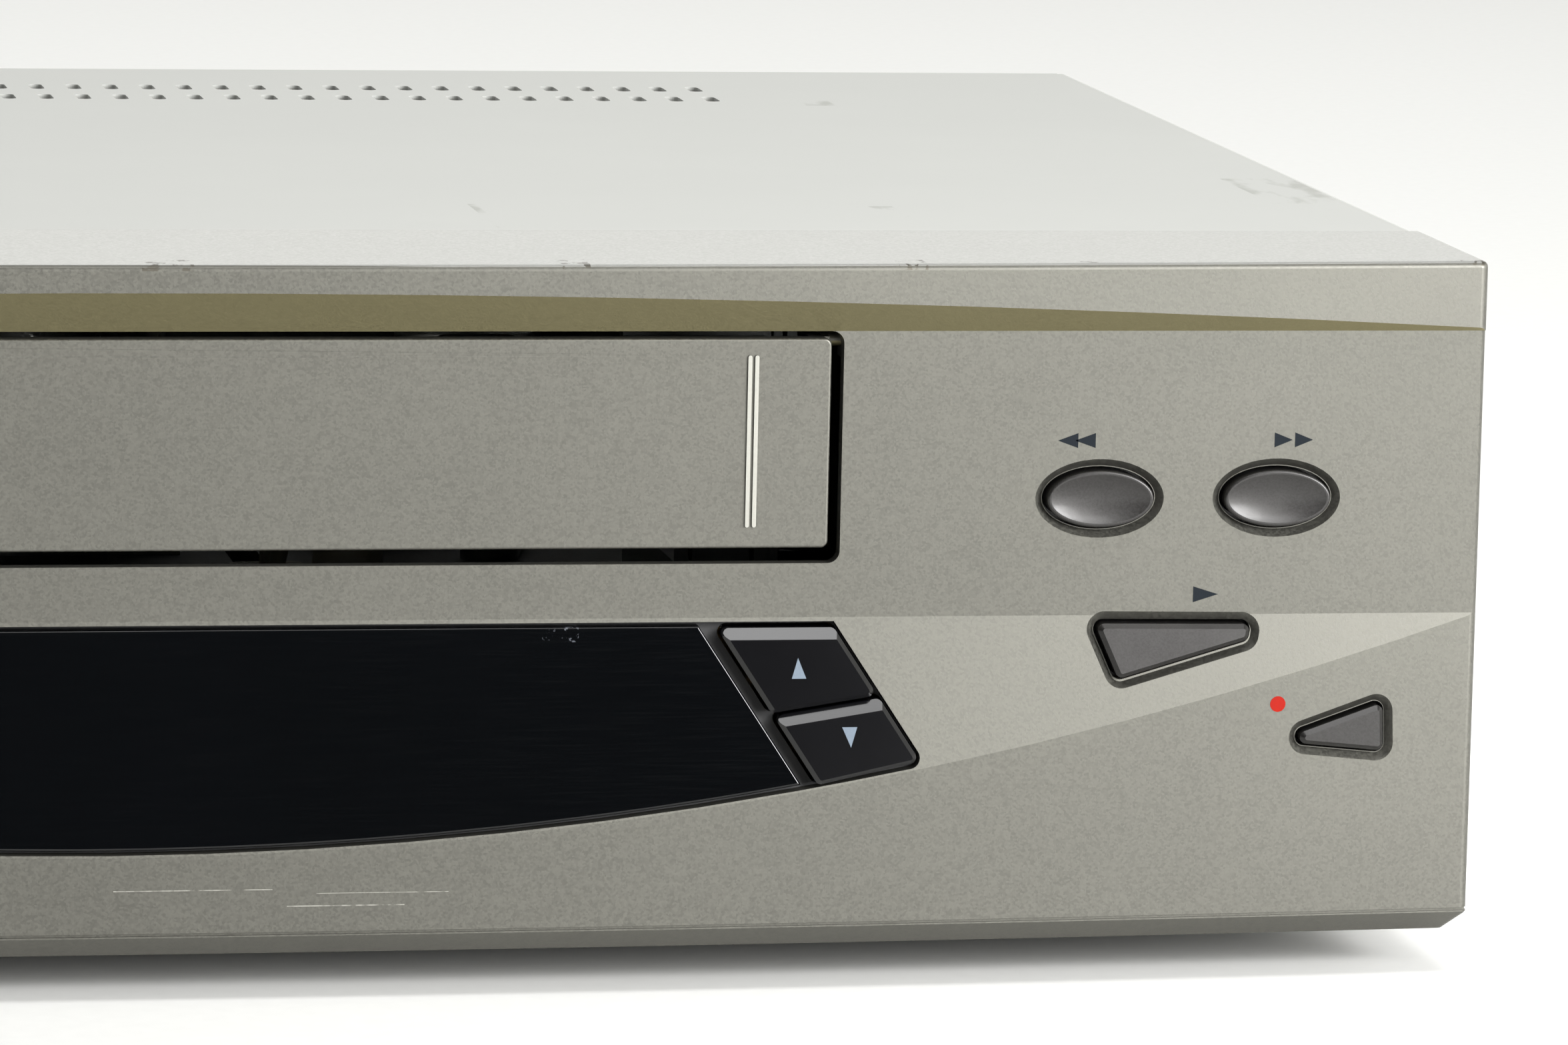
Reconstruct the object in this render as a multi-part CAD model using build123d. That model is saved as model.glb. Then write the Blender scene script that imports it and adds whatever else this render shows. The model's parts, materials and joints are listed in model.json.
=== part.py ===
from build123d import *
from math import asin, atan, atan2, ceil, cos, degrees, hypot, pi, radians, sin, sqrt
import os

# A front-loading video cassette recorder, in millimetres.
# X runs to the right along the front, Y runs from the front to the rear and Z is up.
# The origin is on the floor, under the middle of the whole machine.

os.makedirs("parts", exist_ok=True)


# ---- Driving sizes: casing ------------------------------------------------------------

body_width = 380.0
body_height = 94.0
body_depth = 270.0          # from the flat of the front to the rear panel
foot_height = 6.0           # how far the feet lift the casing off the floor
bulge_depth = 5.9           # how far brow and chin bulge out in front of the flat
socket_reach = 4.1          # how far the aerial sockets stand out behind

front_wall = 2.5            # moulded front
bezel_depth = 36.0          # roof and sides of the moulded front
cover_gauge = 0.8           # steel of the cover
pan_gauge = 1.2             # steel of the floor pan
rear_gauge = 1.0            # steel of the rear panel
cover_step = 0.2            # the cover lies this far inside the moulded front
seam_gap = 0.3

corner_round = 1.2
top_edge_round = 0.9
bottom_chamfer = 2.8
groove_height = 3.0         # thin line above the chamfer
groove_width = 0.4
groove_depth = 0.35

# ---- Driving sizes: front face, heights from the casing's lower edge --------------------

crease_height = 45.0        # where the flat turns into the sloped facet
facet_foot_height = 13.8    # where the facet meets the chin, at the middle
slot_top_height = 84.35
brow_step = 0.4             # the brow's ends stand this far in front of the flat

cassette_width = 188.0      # standard VHS cassette
cassette_depth = 104.0
cassette_thickness = 25.0
slot_side_gap = 5.9         # slot beside the cassette
slot_height = 31.9
slot_corner = 1.7
flap_side_gap = 1.6         # flap inside the slot
flap_height = 28.8
flap_thickness = 2.5
flap_setback = 0.4
flap_top_gap = 1.05
flap_corner = 1.0
flap_pin_radius = 1.0
flap_pin_setback = 4.6      # pin behind the flat
flap_pin_drop = 1.55        # pin under the slot's upper edge
flap_rib_from_edge = 10.35
flap_rib_width = 0.55
flap_rib_gap = 0.4
flap_rib_height = 0.3
flap_rib_length = 23.6
flap_rib_foot = 2.9         # lower end of the ribs above the flap's lower edge

window_top_gap = 0.55       # under the crease
window_top_half = 99.3
window_low_half = 112.0
window_corner = 1.5
window_rim = 0.3            # above the line where facet and chin meet
lens_margin = 0.6
channel_strip = 19.1        # the channel keys' strip, between lens and window edge
lens_ledge = 3.0
lens_edge_round = 0.3
frame_gauge = 1.5

button_gap = 0.45           # around each button in the moulded front
button_travel = 0.8
button_proud = 0.9
button_flange = 0.9
button_flange_gauge = 1.2
button_flange_setback = 4.2
button_stem_radius = 1.6
switch_size = 6.0
switch_height = 3.5
switch_plunger_radius = 1.7
switch_plunger_height = 0.7
switch_spare = 0.1          # left between stem and plunger at full press

oval_half_width = 7.45
oval_half_height = 3.9
oval_height = 61.2
oval_from_side = 29.1
oval_spacing = 24.9
oval_dish_depth = 0.6
oval_rim = 0.5
recess_ring = 1.55          # bevelled ring around a button

# ---- Driving sizes: boards and sockets ---------------------------------------------------

board_gauge = 1.6
front_board_setback = 20.0
front_board_low = 9.0
front_board_middle_high = 45.5
front_board_wing_high = 74.0
front_board_wing_x = 112.0
display_half_width = 50.0
display_low = 18.0
display_high = 40.0
display_thickness = 7.0

board_lift = 6.3            # main board above the floor pan
board_side_gap = 7.0
board_front_setback = 42.0
board_rear_gap = 6.0
boss_radius = 4.0

# ---- Driving sizes: cassette deck ----------------------------------------------------------

cassette_side_play = 1.0
cassette_top_play = 1.5
cassette_entry_gap = 0.45   # cassette above the slot's lower edge
cassette_drop = 19.0

deck_height = 24.0          # deck plate's underside above the casing's lower edge
deck_gauge = 1.6
deck_half_width = 112.0
deck_front_setback = 50.0
deck_rear_gap = 24.0        # room between the deck plate and the rear, for the sockets
deck_leg_radius = 3.5

holder_gauge = 1.0
holder_front_setback = 34.0
holder_length = 79.0
holder_drum_gap = 14.0      # loaded holder to drum
holder_ledge = 12.0
holder_pin_radius = 1.8
slide_gauge = 1.2
slide_gap = 0.4
bracket_gauge = 1.4
bracket_gap = 0.5
guide_pin_radius = 2.0
slot_play = 0.12            # a pin's slot is this much wider on each side

pinion_teeth = 10
pinion_pitch_radius = 3.6
tooth_addendum = 0.45
tooth_clearance = 0.2
shaft_radius = 1.5
running_gap = 0.05          # radial play of a shaft in its bore

drum_radius = 31.0
drum_tilt = 6.0             # degrees
drum_from_deck_rear = 38.0
lower_drum_height = 17.0
upper_drum_height = 17.0
drum_gap = 0.3

reel_half_spacing = 46.25
reel_from_holder = 22.0     # reel tables behind the loaded holder's front
reel_radius = 17.5
reel_gauge = 4.5
reel_spindle_radius = 5.2
reel_spindle_height = 13.0

capstan_x = 56.0
capstan_before_drum = 30.0
capstan_radius = 2.0
flywheel_radius = 18.0
pulley_radius = 9.0
clutch_behind_reels = 12.0
clutch_radius = 12.0
clutch_hub_radius = 8.0
idler_radius = 14.0
idler_tyre = 2.0
belt_gauge = 1.4
belt_height = 2.4
soft_gap = 0.3              # between curved faces that all but touch

pinch_radius = 7.0
pinch_pivot_x = 84.0
pinch_pivot_before_drum = 6.0
pinch_swing = 25.0          # degrees

guide_x = 40.0
guide_behind_reels = 44.0
guide_past_drum = 14.0      # loaded carriages behind the drum's middle


# ---- Places worked out from the driving sizes ------------------------------------------------

half_width = body_width / 2
slot_width = cassette_width + 2 * slot_side_gap
flap_width = slot_width - 2 * flap_side_gap
deck_rear_setback = body_depth - deck_rear_gap
drum_setback = deck_rear_setback - drum_from_deck_rear
loading_travel = drum_setback - drum_radius - holder_drum_gap - holder_length - holder_front_setback
reel_setback = holder_front_setback + loading_travel + reel_from_holder
capstan_setback = drum_setback - capstan_before_drum
clutch_setback = reel_setback + clutch_behind_reels
pinch_pivot_setback = drum_setback - pinch_pivot_before_drum
guide_rest_setback = reel_setback + guide_behind_reels
guide_travel = drum_setback + guide_past_drum - guide_rest_setback
half_depth = (bulge_depth + body_depth + socket_reach) / 2
face_y = bulge_depth - half_depth
rear_y = face_y + body_depth
seam_y = face_y + bezel_depth
bottom_z = foot_height
top_z = bottom_z + body_height

crease_z = bottom_z + crease_height
slot_top_z = bottom_z + slot_top_height
slot_low_z = slot_top_z - slot_height
facet_slope = bulge_depth / (crease_height - facet_foot_height)
facet_angle = atan(facet_slope)
bulge_radius = (half_width ** 2 + bulge_depth ** 2) / (2 * bulge_depth)

cover_half = half_width - cover_step
cover_top_z = top_z - cover_step
cover_inner_x = cover_half - cover_gauge
cover_inner_z = cover_top_z - cover_gauge
pan_low_z = bottom_z + front_wall
pan_top_z = pan_low_z + pan_gauge
rear_inner_y = rear_y - rear_gauge

flap_top_z = slot_top_z - flap_top_gap
flap_low_z = flap_top_z - flap_height
flap_front_y = face_y + flap_setback
flap_back_y = flap_front_y + flap_thickness
flap_pin_y = face_y + flap_pin_setback
flap_pin_z = slot_top_z - flap_pin_drop

board_low_z = pan_top_z + board_lift
board_top_z = board_low_z + board_gauge
front_board_y = face_y + front_board_setback
plunger_y = front_board_y - switch_height - switch_plunger_height
stem_end_y = plunger_y - button_travel - switch_spare

deck_low_z = bottom_z + deck_height
deck_top_z = deck_low_z + deck_gauge
deck_front_y = face_y + deck_front_setback
deck_rear_y = face_y + deck_rear_setback

cassette_up_z = slot_low_z + cassette_entry_gap
holder_inner_x = cassette_width / 2 + cassette_side_play
holder_outer_x = holder_inner_x + holder_gauge
holder_low_z = cassette_up_z - holder_gauge
holder_top_z = cassette_up_z + cassette_thickness + cassette_top_play + holder_gauge
holder_front_y = face_y + holder_front_setback
holder_rear_y = holder_front_y + holder_length
slide_inner_x = holder_outer_x + slide_gap
slide_outer_x = slide_inner_x + slide_gauge
bracket_inner_x = slide_outer_x + bracket_gap
bracket_outer_x = bracket_inner_x + bracket_gauge


# ---- Small helpers ---------------------------------------------------------------------------

def block(x_low, x_high, y_low, y_high, z_low, z_high):
    centre = ((x_low + x_high) / 2, (y_low + y_high) / 2, (z_low + z_high) / 2)
    return Pos(*centre) * Box(x_high - x_low, y_high - y_low, z_high - z_low)


def post(x, y, z_low, z_high, radius):
    return Pos(x, y, (z_low + z_high) / 2) * Cylinder(radius, z_high - z_low)


def rod_x(x_low, x_high, y, z, radius):
    middle = Pos((x_low + x_high) / 2, y, z)
    return middle * Rot(0, 90, 0) * Cylinder(radius, x_high - x_low)


def rod_y(x, y_low, y_high, z, radius):
    middle = Pos(x, (y_low + y_high) / 2, z)
    return middle * Rot(90, 0, 0) * Cylinder(radius, y_high - y_low)


def prism_x(outline, x_low, x_high):
    """Extrude a Y-Z outline along X."""
    return extrude(Plane.YZ.offset(x_low) * outline, amount=x_high - x_low)


def prism_y(outline, y_low, y_high):
    """Extrude an X-Z outline along Y."""
    return extrude(Plane.XZ.offset(-y_high) * outline, amount=y_high - y_low)


def prism_z(outline, z_low, z_high):
    """Extrude an X-Y outline along Z."""
    return extrude(Plane.XY.offset(z_low) * outline, amount=z_high - z_low)


def polygon(points):
    return make_face(Polyline(*points, close=True))


def rounded(points, radius):
    return make_face(FilletPolyline(*points, radius=radius, close=True))


def rectangle(a_low, a_high, b_low, b_high):
    centre = Pos((a_low + a_high) / 2, (b_low + b_high) / 2)
    return centre * Rectangle(a_high - a_low, b_high - b_low)


def on_front(points):
    """Turn (x, height above the casing's lower edge) into points of the X-Z plane."""
    return [(x, bottom_z + height) for x, height in points]


def mirrored(shape):
    return mirror(shape, about=Plane.YZ)


def gear_outline(teeth, pitch_radius, addendum, share=0.36):
    """A spur gear's outline, with one tooth on the -Y side of its centre."""
    tip = pitch_radius + addendum
    root = pitch_radius - addendum - tooth_clearance
    step = 2 * pi / teeth
    points = []
    for tooth in range(teeth):
        middle = tooth * step - pi / 2
        for radius, side in ((root, -1), (tip, -0.55), (tip, 0.55), (root, 1)):
            angle = middle + side * step * share / 2 * pitch_radius / radius
            points.append((radius * cos(angle), radius * sin(angle)))
    return polygon(points)


def save(name, shape):
    solids = shape.solids() if hasattr(shape, "solids") else shape
    whole = solids[0] if len(solids) == 1 else Compound(children=list(solids))
    whole.label = name
    export_step(whole, f"parts/{name}.step")


# ---- Front shape -----------------------------------------------------------------------------

def bulge_at(x):
    """How far the chin stands in front of the flat, at a distance from the middle."""
    return sqrt(bulge_radius ** 2 - x ** 2) - (bulge_radius - bulge_depth)


def chin_line(x):
    """Height at which the facet meets the chin."""
    return crease_height - bulge_at(x) / facet_slope


def facet_y(z, proud):
    """Y of a plane that stands proud of the facet (or behind it, when negative)."""
    return face_y - facet_slope * (crease_z - z) - proud / cos(facet_angle)


def bulged_plan(half, end_y, sag, back_y):
    """Plan view of the casing's front: an arc between two straight sides."""
    arc = ThreePointArc((-half, end_y), (0, end_y - sag), (half, end_y))
    sides = Polyline((half, end_y), (half, back_y), (-half, back_y), (-half, end_y))
    return make_face(arc + sides)


def front_channel(depth):
    """What is taken from the bulge in front of flat, facet and undercut.

    With a depth, the same form lies that far inside the moulding's wall.
    """
    reach = bulge_depth + 3.1
    low_z = crease_z - depth * (1 / cos(facet_angle) - 1) / facet_slope
    high_z = slot_top_z + depth * (sqrt(2) - 1)
    front = face_y + depth
    outline = polygon([
        (front, low_z),
        (front, high_z),
        (front - reach, high_z + reach),
        (front - 4 * reach, high_z + reach),
        (front - 4 * reach, low_z - reach / facet_slope),
        (front - reach, low_z - reach / facet_slope),
    ])
    return prism_x(outline, -half_width - reach, half_width + reach)


def facet_slab(proud, inward):
    """A layer that lies along the facet, across the whole front."""
    low_z = bottom_z
    high_z = crease_z + front_wall
    outline = polygon([
        (facet_y(low_z, proud), low_z),
        (facet_y(high_z, proud), high_z),
        (facet_y(high_z, -inward), high_z),
        (facet_y(low_z, -inward), low_z),
    ])
    return prism_x(outline, -half_width, half_width)


def front_cavity():
    """The hollow inside the moulded front."""
    plan = bulged_plan(half_width - front_wall, face_y + front_wall, bulge_depth, seam_y + 1)
    hollow = prism_z(plan, bottom_z + front_wall, top_z - front_wall)
    return hollow - front_channel(front_wall)


def window_outline(inset):
    """The black window's opening in the facet, drawn in by an inset."""
    high = crease_height - window_top_gap - inset
    low_half = window_low_half - inset
    low = chin_line(window_low_half) + window_rim + inset
    middle_low = facet_foot_height + window_rim + inset
    top_half = window_top_half - inset
    right = on_front([(top_half, high), (low_half, low)])
    left = on_front([(-low_half, low), (-top_half, high)])
    middle = on_front([(0, middle_low)])[0]
    lines = Line(left[1], right[0]) + Line(right[0], right[1])
    lines += ThreePointArc(right[1], middle, left[0])
    lines += Line(left[0], left[1])
    return make_face(lines)


window_high = crease_height - window_top_gap
window_edge_slope = (window_low_half - window_top_half) / (
    window_high - chin_line(window_low_half) - window_rim)


def window_edge(height):
    """Where the window's slanted right edge is, at a height."""
    return window_top_half + window_edge_slope * (window_high - height)


def lens_edge(height):
    return window_edge(height) - channel_strip


def left_of_lens_edge(shift):
    """Everything left of the lens's slanted right edge, moved right by a shift."""
    high = crease_height + 5
    low = facet_foot_height - 8
    return polygon(on_front([
        (-half_width, low), (lens_edge(low) + shift, low),
        (lens_edge(high) + shift, high), (-half_width, high)]))


# Outlines of the buttons on the front, as (x, height).
channel_edge_gap = 0.6          # key to window edge
channel_lens_gap = 2.3          # key to lens
channel_top_gap = 0.85
channel_low_gap = 0.9
channel_split = 0.45            # between the two keys
channel_split_right = 34.25     # middle of the split, at the window's edge
channel_split_left = 32.0


def channel_right(height):
    return window_edge(height) - channel_edge_gap, height


def channel_left(height):
    return lens_edge(height) + channel_lens_gap, height


channel_top = window_high - channel_top_gap
channel_low_right = chin_line(window_low_half) + channel_low_gap
channel_low_left = chin_line(window_low_half - channel_strip + channel_lens_gap) + channel_low_gap
channel_up_points = [
    channel_left(channel_top), channel_right(channel_top),
    channel_right(channel_split_right + channel_split / 2),
    channel_left(channel_split_left + channel_split / 2)]
channel_down_points = [
    channel_left(channel_split_left - channel_split / 2),
    channel_right(channel_split_right - channel_split / 2),
    channel_right(channel_low_right), channel_left(channel_low_left)]

# The keys at the right end keep their distance from the machine's side.
play_points = [(half_width - from_side, height) for from_side, height in (
    (54.3, 43.9), (32.4, 43.7), (32.8, 41.6), (51.1, 36.4))]
record_points = [(half_width - from_side, height) for from_side, height in (
    (28.4, 27.5), (13.4, 32.6), (13.1, 25.9))]
oval_outer_x = half_width - oval_from_side
oval_inner_x = oval_outer_x - oval_spacing
key_corner = 0.9
key_bevel = 0.6
channel_bevel_drop = 1.5    # broad bevel along a channel button's upper edge
channel_bevel_depth = 0.9


def oval(x, grow):
    centre = Pos(x, bottom_z + oval_height)
    return centre * Ellipse(oval_half_width + grow, oval_half_height + grow)


def key(points, radius, grow):
    outline = rounded(on_front(points), radius)
    if grow:
        outline = offset(outline, grow)
    return outline


def middle_of(points):
    count = len(points)
    return sum(x for x, h in points) / count, sum(h for x, h in points) / count


facet_plane = Plane(
    origin=(0, face_y, crease_z),
    x_dir=(1, 0, 0),
    z_dir=(0, -cos(facet_angle), sin(facet_angle)),
)


def on_facet(points):
    """Front-view points as local points of the facet's own plane."""
    return [(x, (height - crease_height) / cos(facet_angle)) for x, height in points]


record_x, record_height = middle_of(record_points)
record_tilt = asin(record_x / bulge_radius)
record_plane = Plane(
    origin=(record_x, face_y - bulge_at(record_x), bottom_z + record_height),
    x_dir=(cos(record_tilt), sin(record_tilt), 0),
    z_dir=(sin(record_tilt), -cos(record_tilt), 0),
)


def bevelled_ring(plane, outline, depth=1.0):
    """A bevel sunk around a button: wide at the surface and narrow at the depth."""
    wide = plane.offset(0.2) * offset(outline, recess_ring + 0.2)
    narrow = plane.offset(-depth) * offset(outline, recess_ring - depth)
    return loft([wide, narrow], ruled=True)


play_on_facet = rounded(on_facet(play_points), key_corner)
record_local = rounded(
    [(x - record_x, height - record_height) for x, height in record_points], key_corner)


def oval_ring(x):
    face_plane = Plane.XZ.offset(-face_y)
    wide = face_plane.offset(0.2) * oval(x, recess_ring + 0.2)
    narrow = face_plane.offset(-1.0) * oval(x, recess_ring - 1.0)
    return loft([wide, narrow], ruled=True)


oval_places = {
    "rewind_button": oval_inner_x,
    "fast_forward_button": oval_outer_x,
    "eject_button": -oval_inner_x,
    "power_button": -oval_outer_x,
}


# ---- Moulded front -----------------------------------------------------------------------------

def rounded_front(solid, radius):
    """Round the front corners, down to the end of any chamfer below them."""
    upright = [edge for edge in solid.edges()
               if edge.center().Y < face_y + bottom_chamfer and abs(edge.center().X) > 1
               and edge.bounding_box().size.Z > 1]
    return fillet(upright, radius)


def front_rim(solid, level):
    """The edges of a level face, without the one along the seam."""
    return [edge for edge in solid.edges().group_by(Axis.Z)[level]
            if edge.center().Y < seam_y - 1]


board_posts = [
    (half_width - 10, front_board_wing_high - 5),
    (front_board_wing_x + 6, front_board_wing_high - 5),
    (half_width - 10, front_board_low + 6),
    (front_board_wing_x + 16, front_board_low + 6),
]

board_post_radius = 2.8

hinge_lug_gap = 0.3
hinge_lug_width = 2.5


def moulded_front():
    chin = prism_z(bulged_plan(half_width, face_y, bulge_depth, seam_y), bottom_z, slot_top_z)
    chin = chamfer(front_rim(chin, 0), bottom_chamfer)
    chin = rounded_front(chin, corner_round)
    brow = prism_z(
        bulged_plan(half_width, face_y - brow_step, bulge_depth - brow_step, seam_y),
        slot_top_z, top_z)
    brow = rounded_front(brow, corner_round)
    brow = fillet(front_rim(brow, -1), top_edge_round)
    shell = chin + brow - front_channel(0) - front_cavity()

    groove_low = bottom_z + groove_height
    outside = bulged_plan(half_width + 1, face_y - 1, bulge_depth, seam_y + 1)
    inside = bulged_plan(half_width - groove_depth, face_y + groove_depth, bulge_depth, seam_y + 2)
    groove = prism_z(outside - inside, groove_low, groove_low + groove_width)
    shell -= groove

    front = face_y - bulge_depth - 2
    back = face_y + front_wall + 2
    slot_half = slot_width / 2
    slot = rounded([(-slot_half, slot_low_z), (slot_half, slot_low_z),
                    (slot_half, slot_top_z), (-slot_half, slot_top_z)], slot_corner)
    shell -= prism_y(slot, front, back)
    window = window_outline(0)
    low_corners = window.vertices().sort_by(Axis.Y)[:2]
    window = fillet(low_corners, window_corner)
    shell -= prism_y(window, front, back)

    for x in oval_places.values():
        shell -= prism_y(oval(x, button_gap), front, back)
        shell -= oval_ring(x)
    play_hole = prism_y(key(play_points, key_corner, button_gap), front, back)
    play_ring = bevelled_ring(facet_plane, play_on_facet)
    shell -= play_hole + play_ring
    shell -= mirrored(play_hole) + mirrored(play_ring)
    shell -= prism_y(key(record_points, key_corner, button_gap), front, back)
    shell -= bevelled_ring(record_plane, record_local)

    for side in (-1, 1):
        lug_x = sorted((side * (slot_half + hinge_lug_gap),
                        side * (slot_half + hinge_lug_gap + hinge_lug_width)))
        lug = block(*lug_x, face_y + front_wall - 0.5, flap_pin_y + 2 * flap_pin_radius,
                    flap_pin_z - 2.5, flap_pin_z + 2)
        shell += lug - rod_x(*lug_x, flap_pin_y, flap_pin_z, flap_pin_radius + running_gap)
        for x, height in board_posts:
            in_wall = face_y + 1.5
            if height < chin_line(x):
                in_wall -= bulge_at(x)
            shell += rod_y(side * x, in_wall, front_board_y, bottom_z + height, board_post_radius)
    return shell


save("front_bezel", moulded_front())


def window_frame():
    """The black moulding behind the facet that carries lens and channel buttons."""
    plate = facet_slab(-front_wall, front_wall + frame_gauge)
    wide = offset(window_outline(0), 3.0)
    plate &= prism_y(wide, face_y - 20, face_y + 20)
    plate &= front_cavity()
    view = window_outline(lens_margin + lens_ledge) & left_of_lens_edge(-lens_ledge)
    plate -= prism_y(view, face_y - 20, face_y + 20)
    for points in (channel_up_points, channel_down_points):
        plate -= prism_y(key(points, key_corner, 0.3), face_y - 20, face_y + 20)
    return plate


def display_window():
    """The smoked lens, flush with the facet and seated on its frame."""
    outline = window_outline(lens_margin) & left_of_lens_edge(0)
    outline = fillet(outline.vertices().sort_by(Axis.X)[0], window_corner)
    lens = prism_y(outline, face_y - 20, face_y + 20) & facet_slab(0, front_wall)
    front = lens.faces().sort_by(SortBy.AREA)[-2:].sort_by(Axis.Y)[0]
    return fillet(front.edges(), lens_edge_round)


save("window_frame", window_frame())
save("display_window", display_window())


# ---- Cassette flap ---------------------------------------------------------------------------

def cassette_flap():
    half = flap_width / 2
    outline = rounded([(-half, flap_low_z), (half, flap_low_z),
                       (half, flap_top_z), (-half, flap_top_z)], flap_corner)
    plate = prism_y(outline, flap_front_y, flap_back_y)
    plate = fillet(plate.faces().sort_by(Axis.Y)[0].edges(), 0.35)
    rib_low = flap_low_z + flap_rib_foot
    for side in (-1, 1):
        for step in (0, 1):
            x = side * (half - flap_rib_from_edge - step * (flap_rib_width + flap_rib_gap))
            rib = prism_y(
                Pos(x, rib_low + flap_rib_length / 2) * SlotOverall(
                    flap_rib_length, flap_rib_width, rotation=90),
                flap_front_y - flap_rib_height, flap_front_y + 0.5)
            plate += rib
        ear_x = sorted((side * (half - 2.8), side * half))
        plate += block(*ear_x, flap_back_y - 0.5, flap_pin_y + 1.2,
                       flap_pin_z - 1.8, flap_top_z)
        reach = slot_width / 2 + hinge_lug_gap + hinge_lug_width
        reach += 4.5 if side < 0 else 0.6
        plate += rod_x(*sorted((side * (half - 1), side * reach)),
                       flap_pin_y, flap_pin_z, flap_pin_radius)
    return plate


def flap_spring():
    """A small torsion spring around the left pin's outer end."""
    wire = 0.2
    radius = flap_pin_radius + soft_gap + wire
    start_x = -(slot_width / 2 + hinge_lug_gap + hinge_lug_width + 0.5)
    turns = 4
    pitch = 3 * wire
    path = Helix(pitch, turns * pitch, radius)
    begin = path @ 0
    coil = sweep(Plane(origin=begin, z_dir=path % 0) * Circle(wire), path=path)
    axis = Plane(origin=(start_x, flap_pin_y, flap_pin_z), x_dir=(0, -1, 0), z_dir=(-1, 0, 0))
    coil = axis * coil
    leg_y = flap_pin_y - radius
    leg = post(start_x, leg_y, flap_pin_z - 8, flap_pin_z, wire)
    return coil + leg


save("cassette_flap", cassette_flap())
save("flap_spring", flap_spring())


# ---- Buttons ---------------------------------------------------------------------------------

flange_y = face_y + button_flange_setback
flange_back_y = flange_y + button_flange_gauge


def behind_facet(proud):
    low_z = bottom_z + 5
    high_z = crease_z + 5
    outline = polygon([
        (facet_y(low_z, proud), low_z), (facet_y(high_z, proud), high_z),
        (flange_back_y, high_z), (flange_back_y, low_z)])
    return prism_x(outline, -half_width, half_width)


def behind_chin(proud):
    plan = bulged_plan(half_width, face_y - proud, bulge_depth, flange_back_y)
    return prism_z(plan, bottom_z, crease_z)


def stem(x, height):
    return rod_y(x, flange_back_y - 0.4, stem_end_y, bottom_z + height, button_stem_radius)


def oval_button(x):
    front = face_y - button_proud
    cap = prism_y(oval(x, 0), front, flange_back_y)
    cap = fillet(cap.faces().sort_by(Axis.Y)[0].edges(), 0.3)
    half_thick = 2.0
    share = sqrt(1 - ((half_thick - oval_dish_depth) / half_thick) ** 2)
    reach = ((oval_half_width - oval_rim) / share, half_thick, (oval_half_height - oval_rim) / share)
    dish = scale(Sphere(1), by=reach)
    dish = Pos(x, front - half_thick + oval_dish_depth, bottom_z + oval_height) * dish
    cap -= dish
    cap += prism_y(oval(x, button_flange), flange_y, flange_back_y)
    return cap + stem(x, oval_height)


def key_button(points, limit, flange, stem_place=None):
    """A shaped key: its cap follows the surface around it and has a bevelled edge."""
    cap = prism_y(key(points, key_corner, 0), face_y - 20, flange_back_y) & limit
    cap = chamfer(cap.faces().sort_by(Axis.Y)[0].edges(), key_bevel)
    if flange:
        cap += prism_y(key(points, key_corner, flange), flange_y, flange_back_y)
    x, height = stem_place or middle_of(points)
    return cap + stem(x, height)


def broad_bevel(points, proud):
    """What the broad bevel takes off along a key's upper edge, between its first two points."""
    first, second = [
        Vector(x, facet_y(bottom_z + height, proud), bottom_z + height)
        for x, height in points[:2]]
    outward = Vector(0, -cos(facet_angle), sin(facet_angle))
    past = 3.0
    section = polygon([
        (0, channel_bevel_drop), (past, channel_bevel_drop), (past, -past),
        (-channel_bevel_depth * (channel_bevel_drop + past) / channel_bevel_drop, -past)])
    start = Plane(origin=first, x_dir=outward, z_dir=(second - first).normalized())
    return extrude(start.offset(-past) * section, amount=(second - first).length + 2 * past)


for name, x in oval_places.items():
    save(name, oval_button(x))

play_stem = (half_width - 44.5, 41.2)
play = key_button(play_points, behind_facet(button_proud), button_flange, play_stem)
save("play_button", play)
save("stop_button", mirrored(play))
save("record_button", key_button(record_points, behind_chin(button_proud), button_flange))
for name, points in (("channel_up_button", channel_up_points),
                     ("channel_down_button", channel_down_points)):
    channel_key = key_button(points, behind_facet(button_proud), 0)
    save(name, channel_key - broad_bevel(points, button_proud))

switch_places = [(x, oval_height) for x in oval_places.values()]
switch_places += [play_stem, (-play_stem[0], play_stem[1]), middle_of(record_points),
                  middle_of(channel_up_points), middle_of(channel_down_points)]


# ---- Front board -----------------------------------------------------------------------------

def front_board():
    half = half_width - 5
    low = front_board_low
    middle = front_board_middle_high
    wing = front_board_wing_high
    edge = front_board_wing_x
    outline = polygon(on_front([
        (-half, low), (half, low), (half, wing), (edge, wing), (edge, middle),
        (-edge, middle), (-edge, wing), (-half, wing)]))
    return prism_y(outline, front_board_y, front_board_y + board_gauge)


def button_switches():
    switches = []
    reach = switch_size / 2
    body_front = front_board_y - switch_height
    for x, height in switch_places:
        z = bottom_z + height
        body = block(x - reach, x + reach, body_front, front_board_y, z - reach, z + reach)
        switches.append(body + rod_y(x, plunger_y, body_front, z, switch_plunger_radius))
    return Compound(children=[switch.solid() for switch in switches])


def display_tube():
    low = bottom_z + display_low
    high = bottom_z + display_high
    glass_front = front_board_y - display_thickness
    half = display_half_width
    tube = block(-half, half, glass_front, front_board_y - 1.5, low, high)
    tube = chamfer(tube.faces().sort_by(Axis.Y)[0].edges(), 0.8)
    carrier = block(-half + 4, half - 4, front_board_y - 1.5, front_board_y, low + 3, high - 3)
    return tube + carrier


save("front_board", front_board())
save("button_switches", button_switches())
save("display_tube", display_tube())


# ---- Steel casing ----------------------------------------------------------------------------

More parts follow.
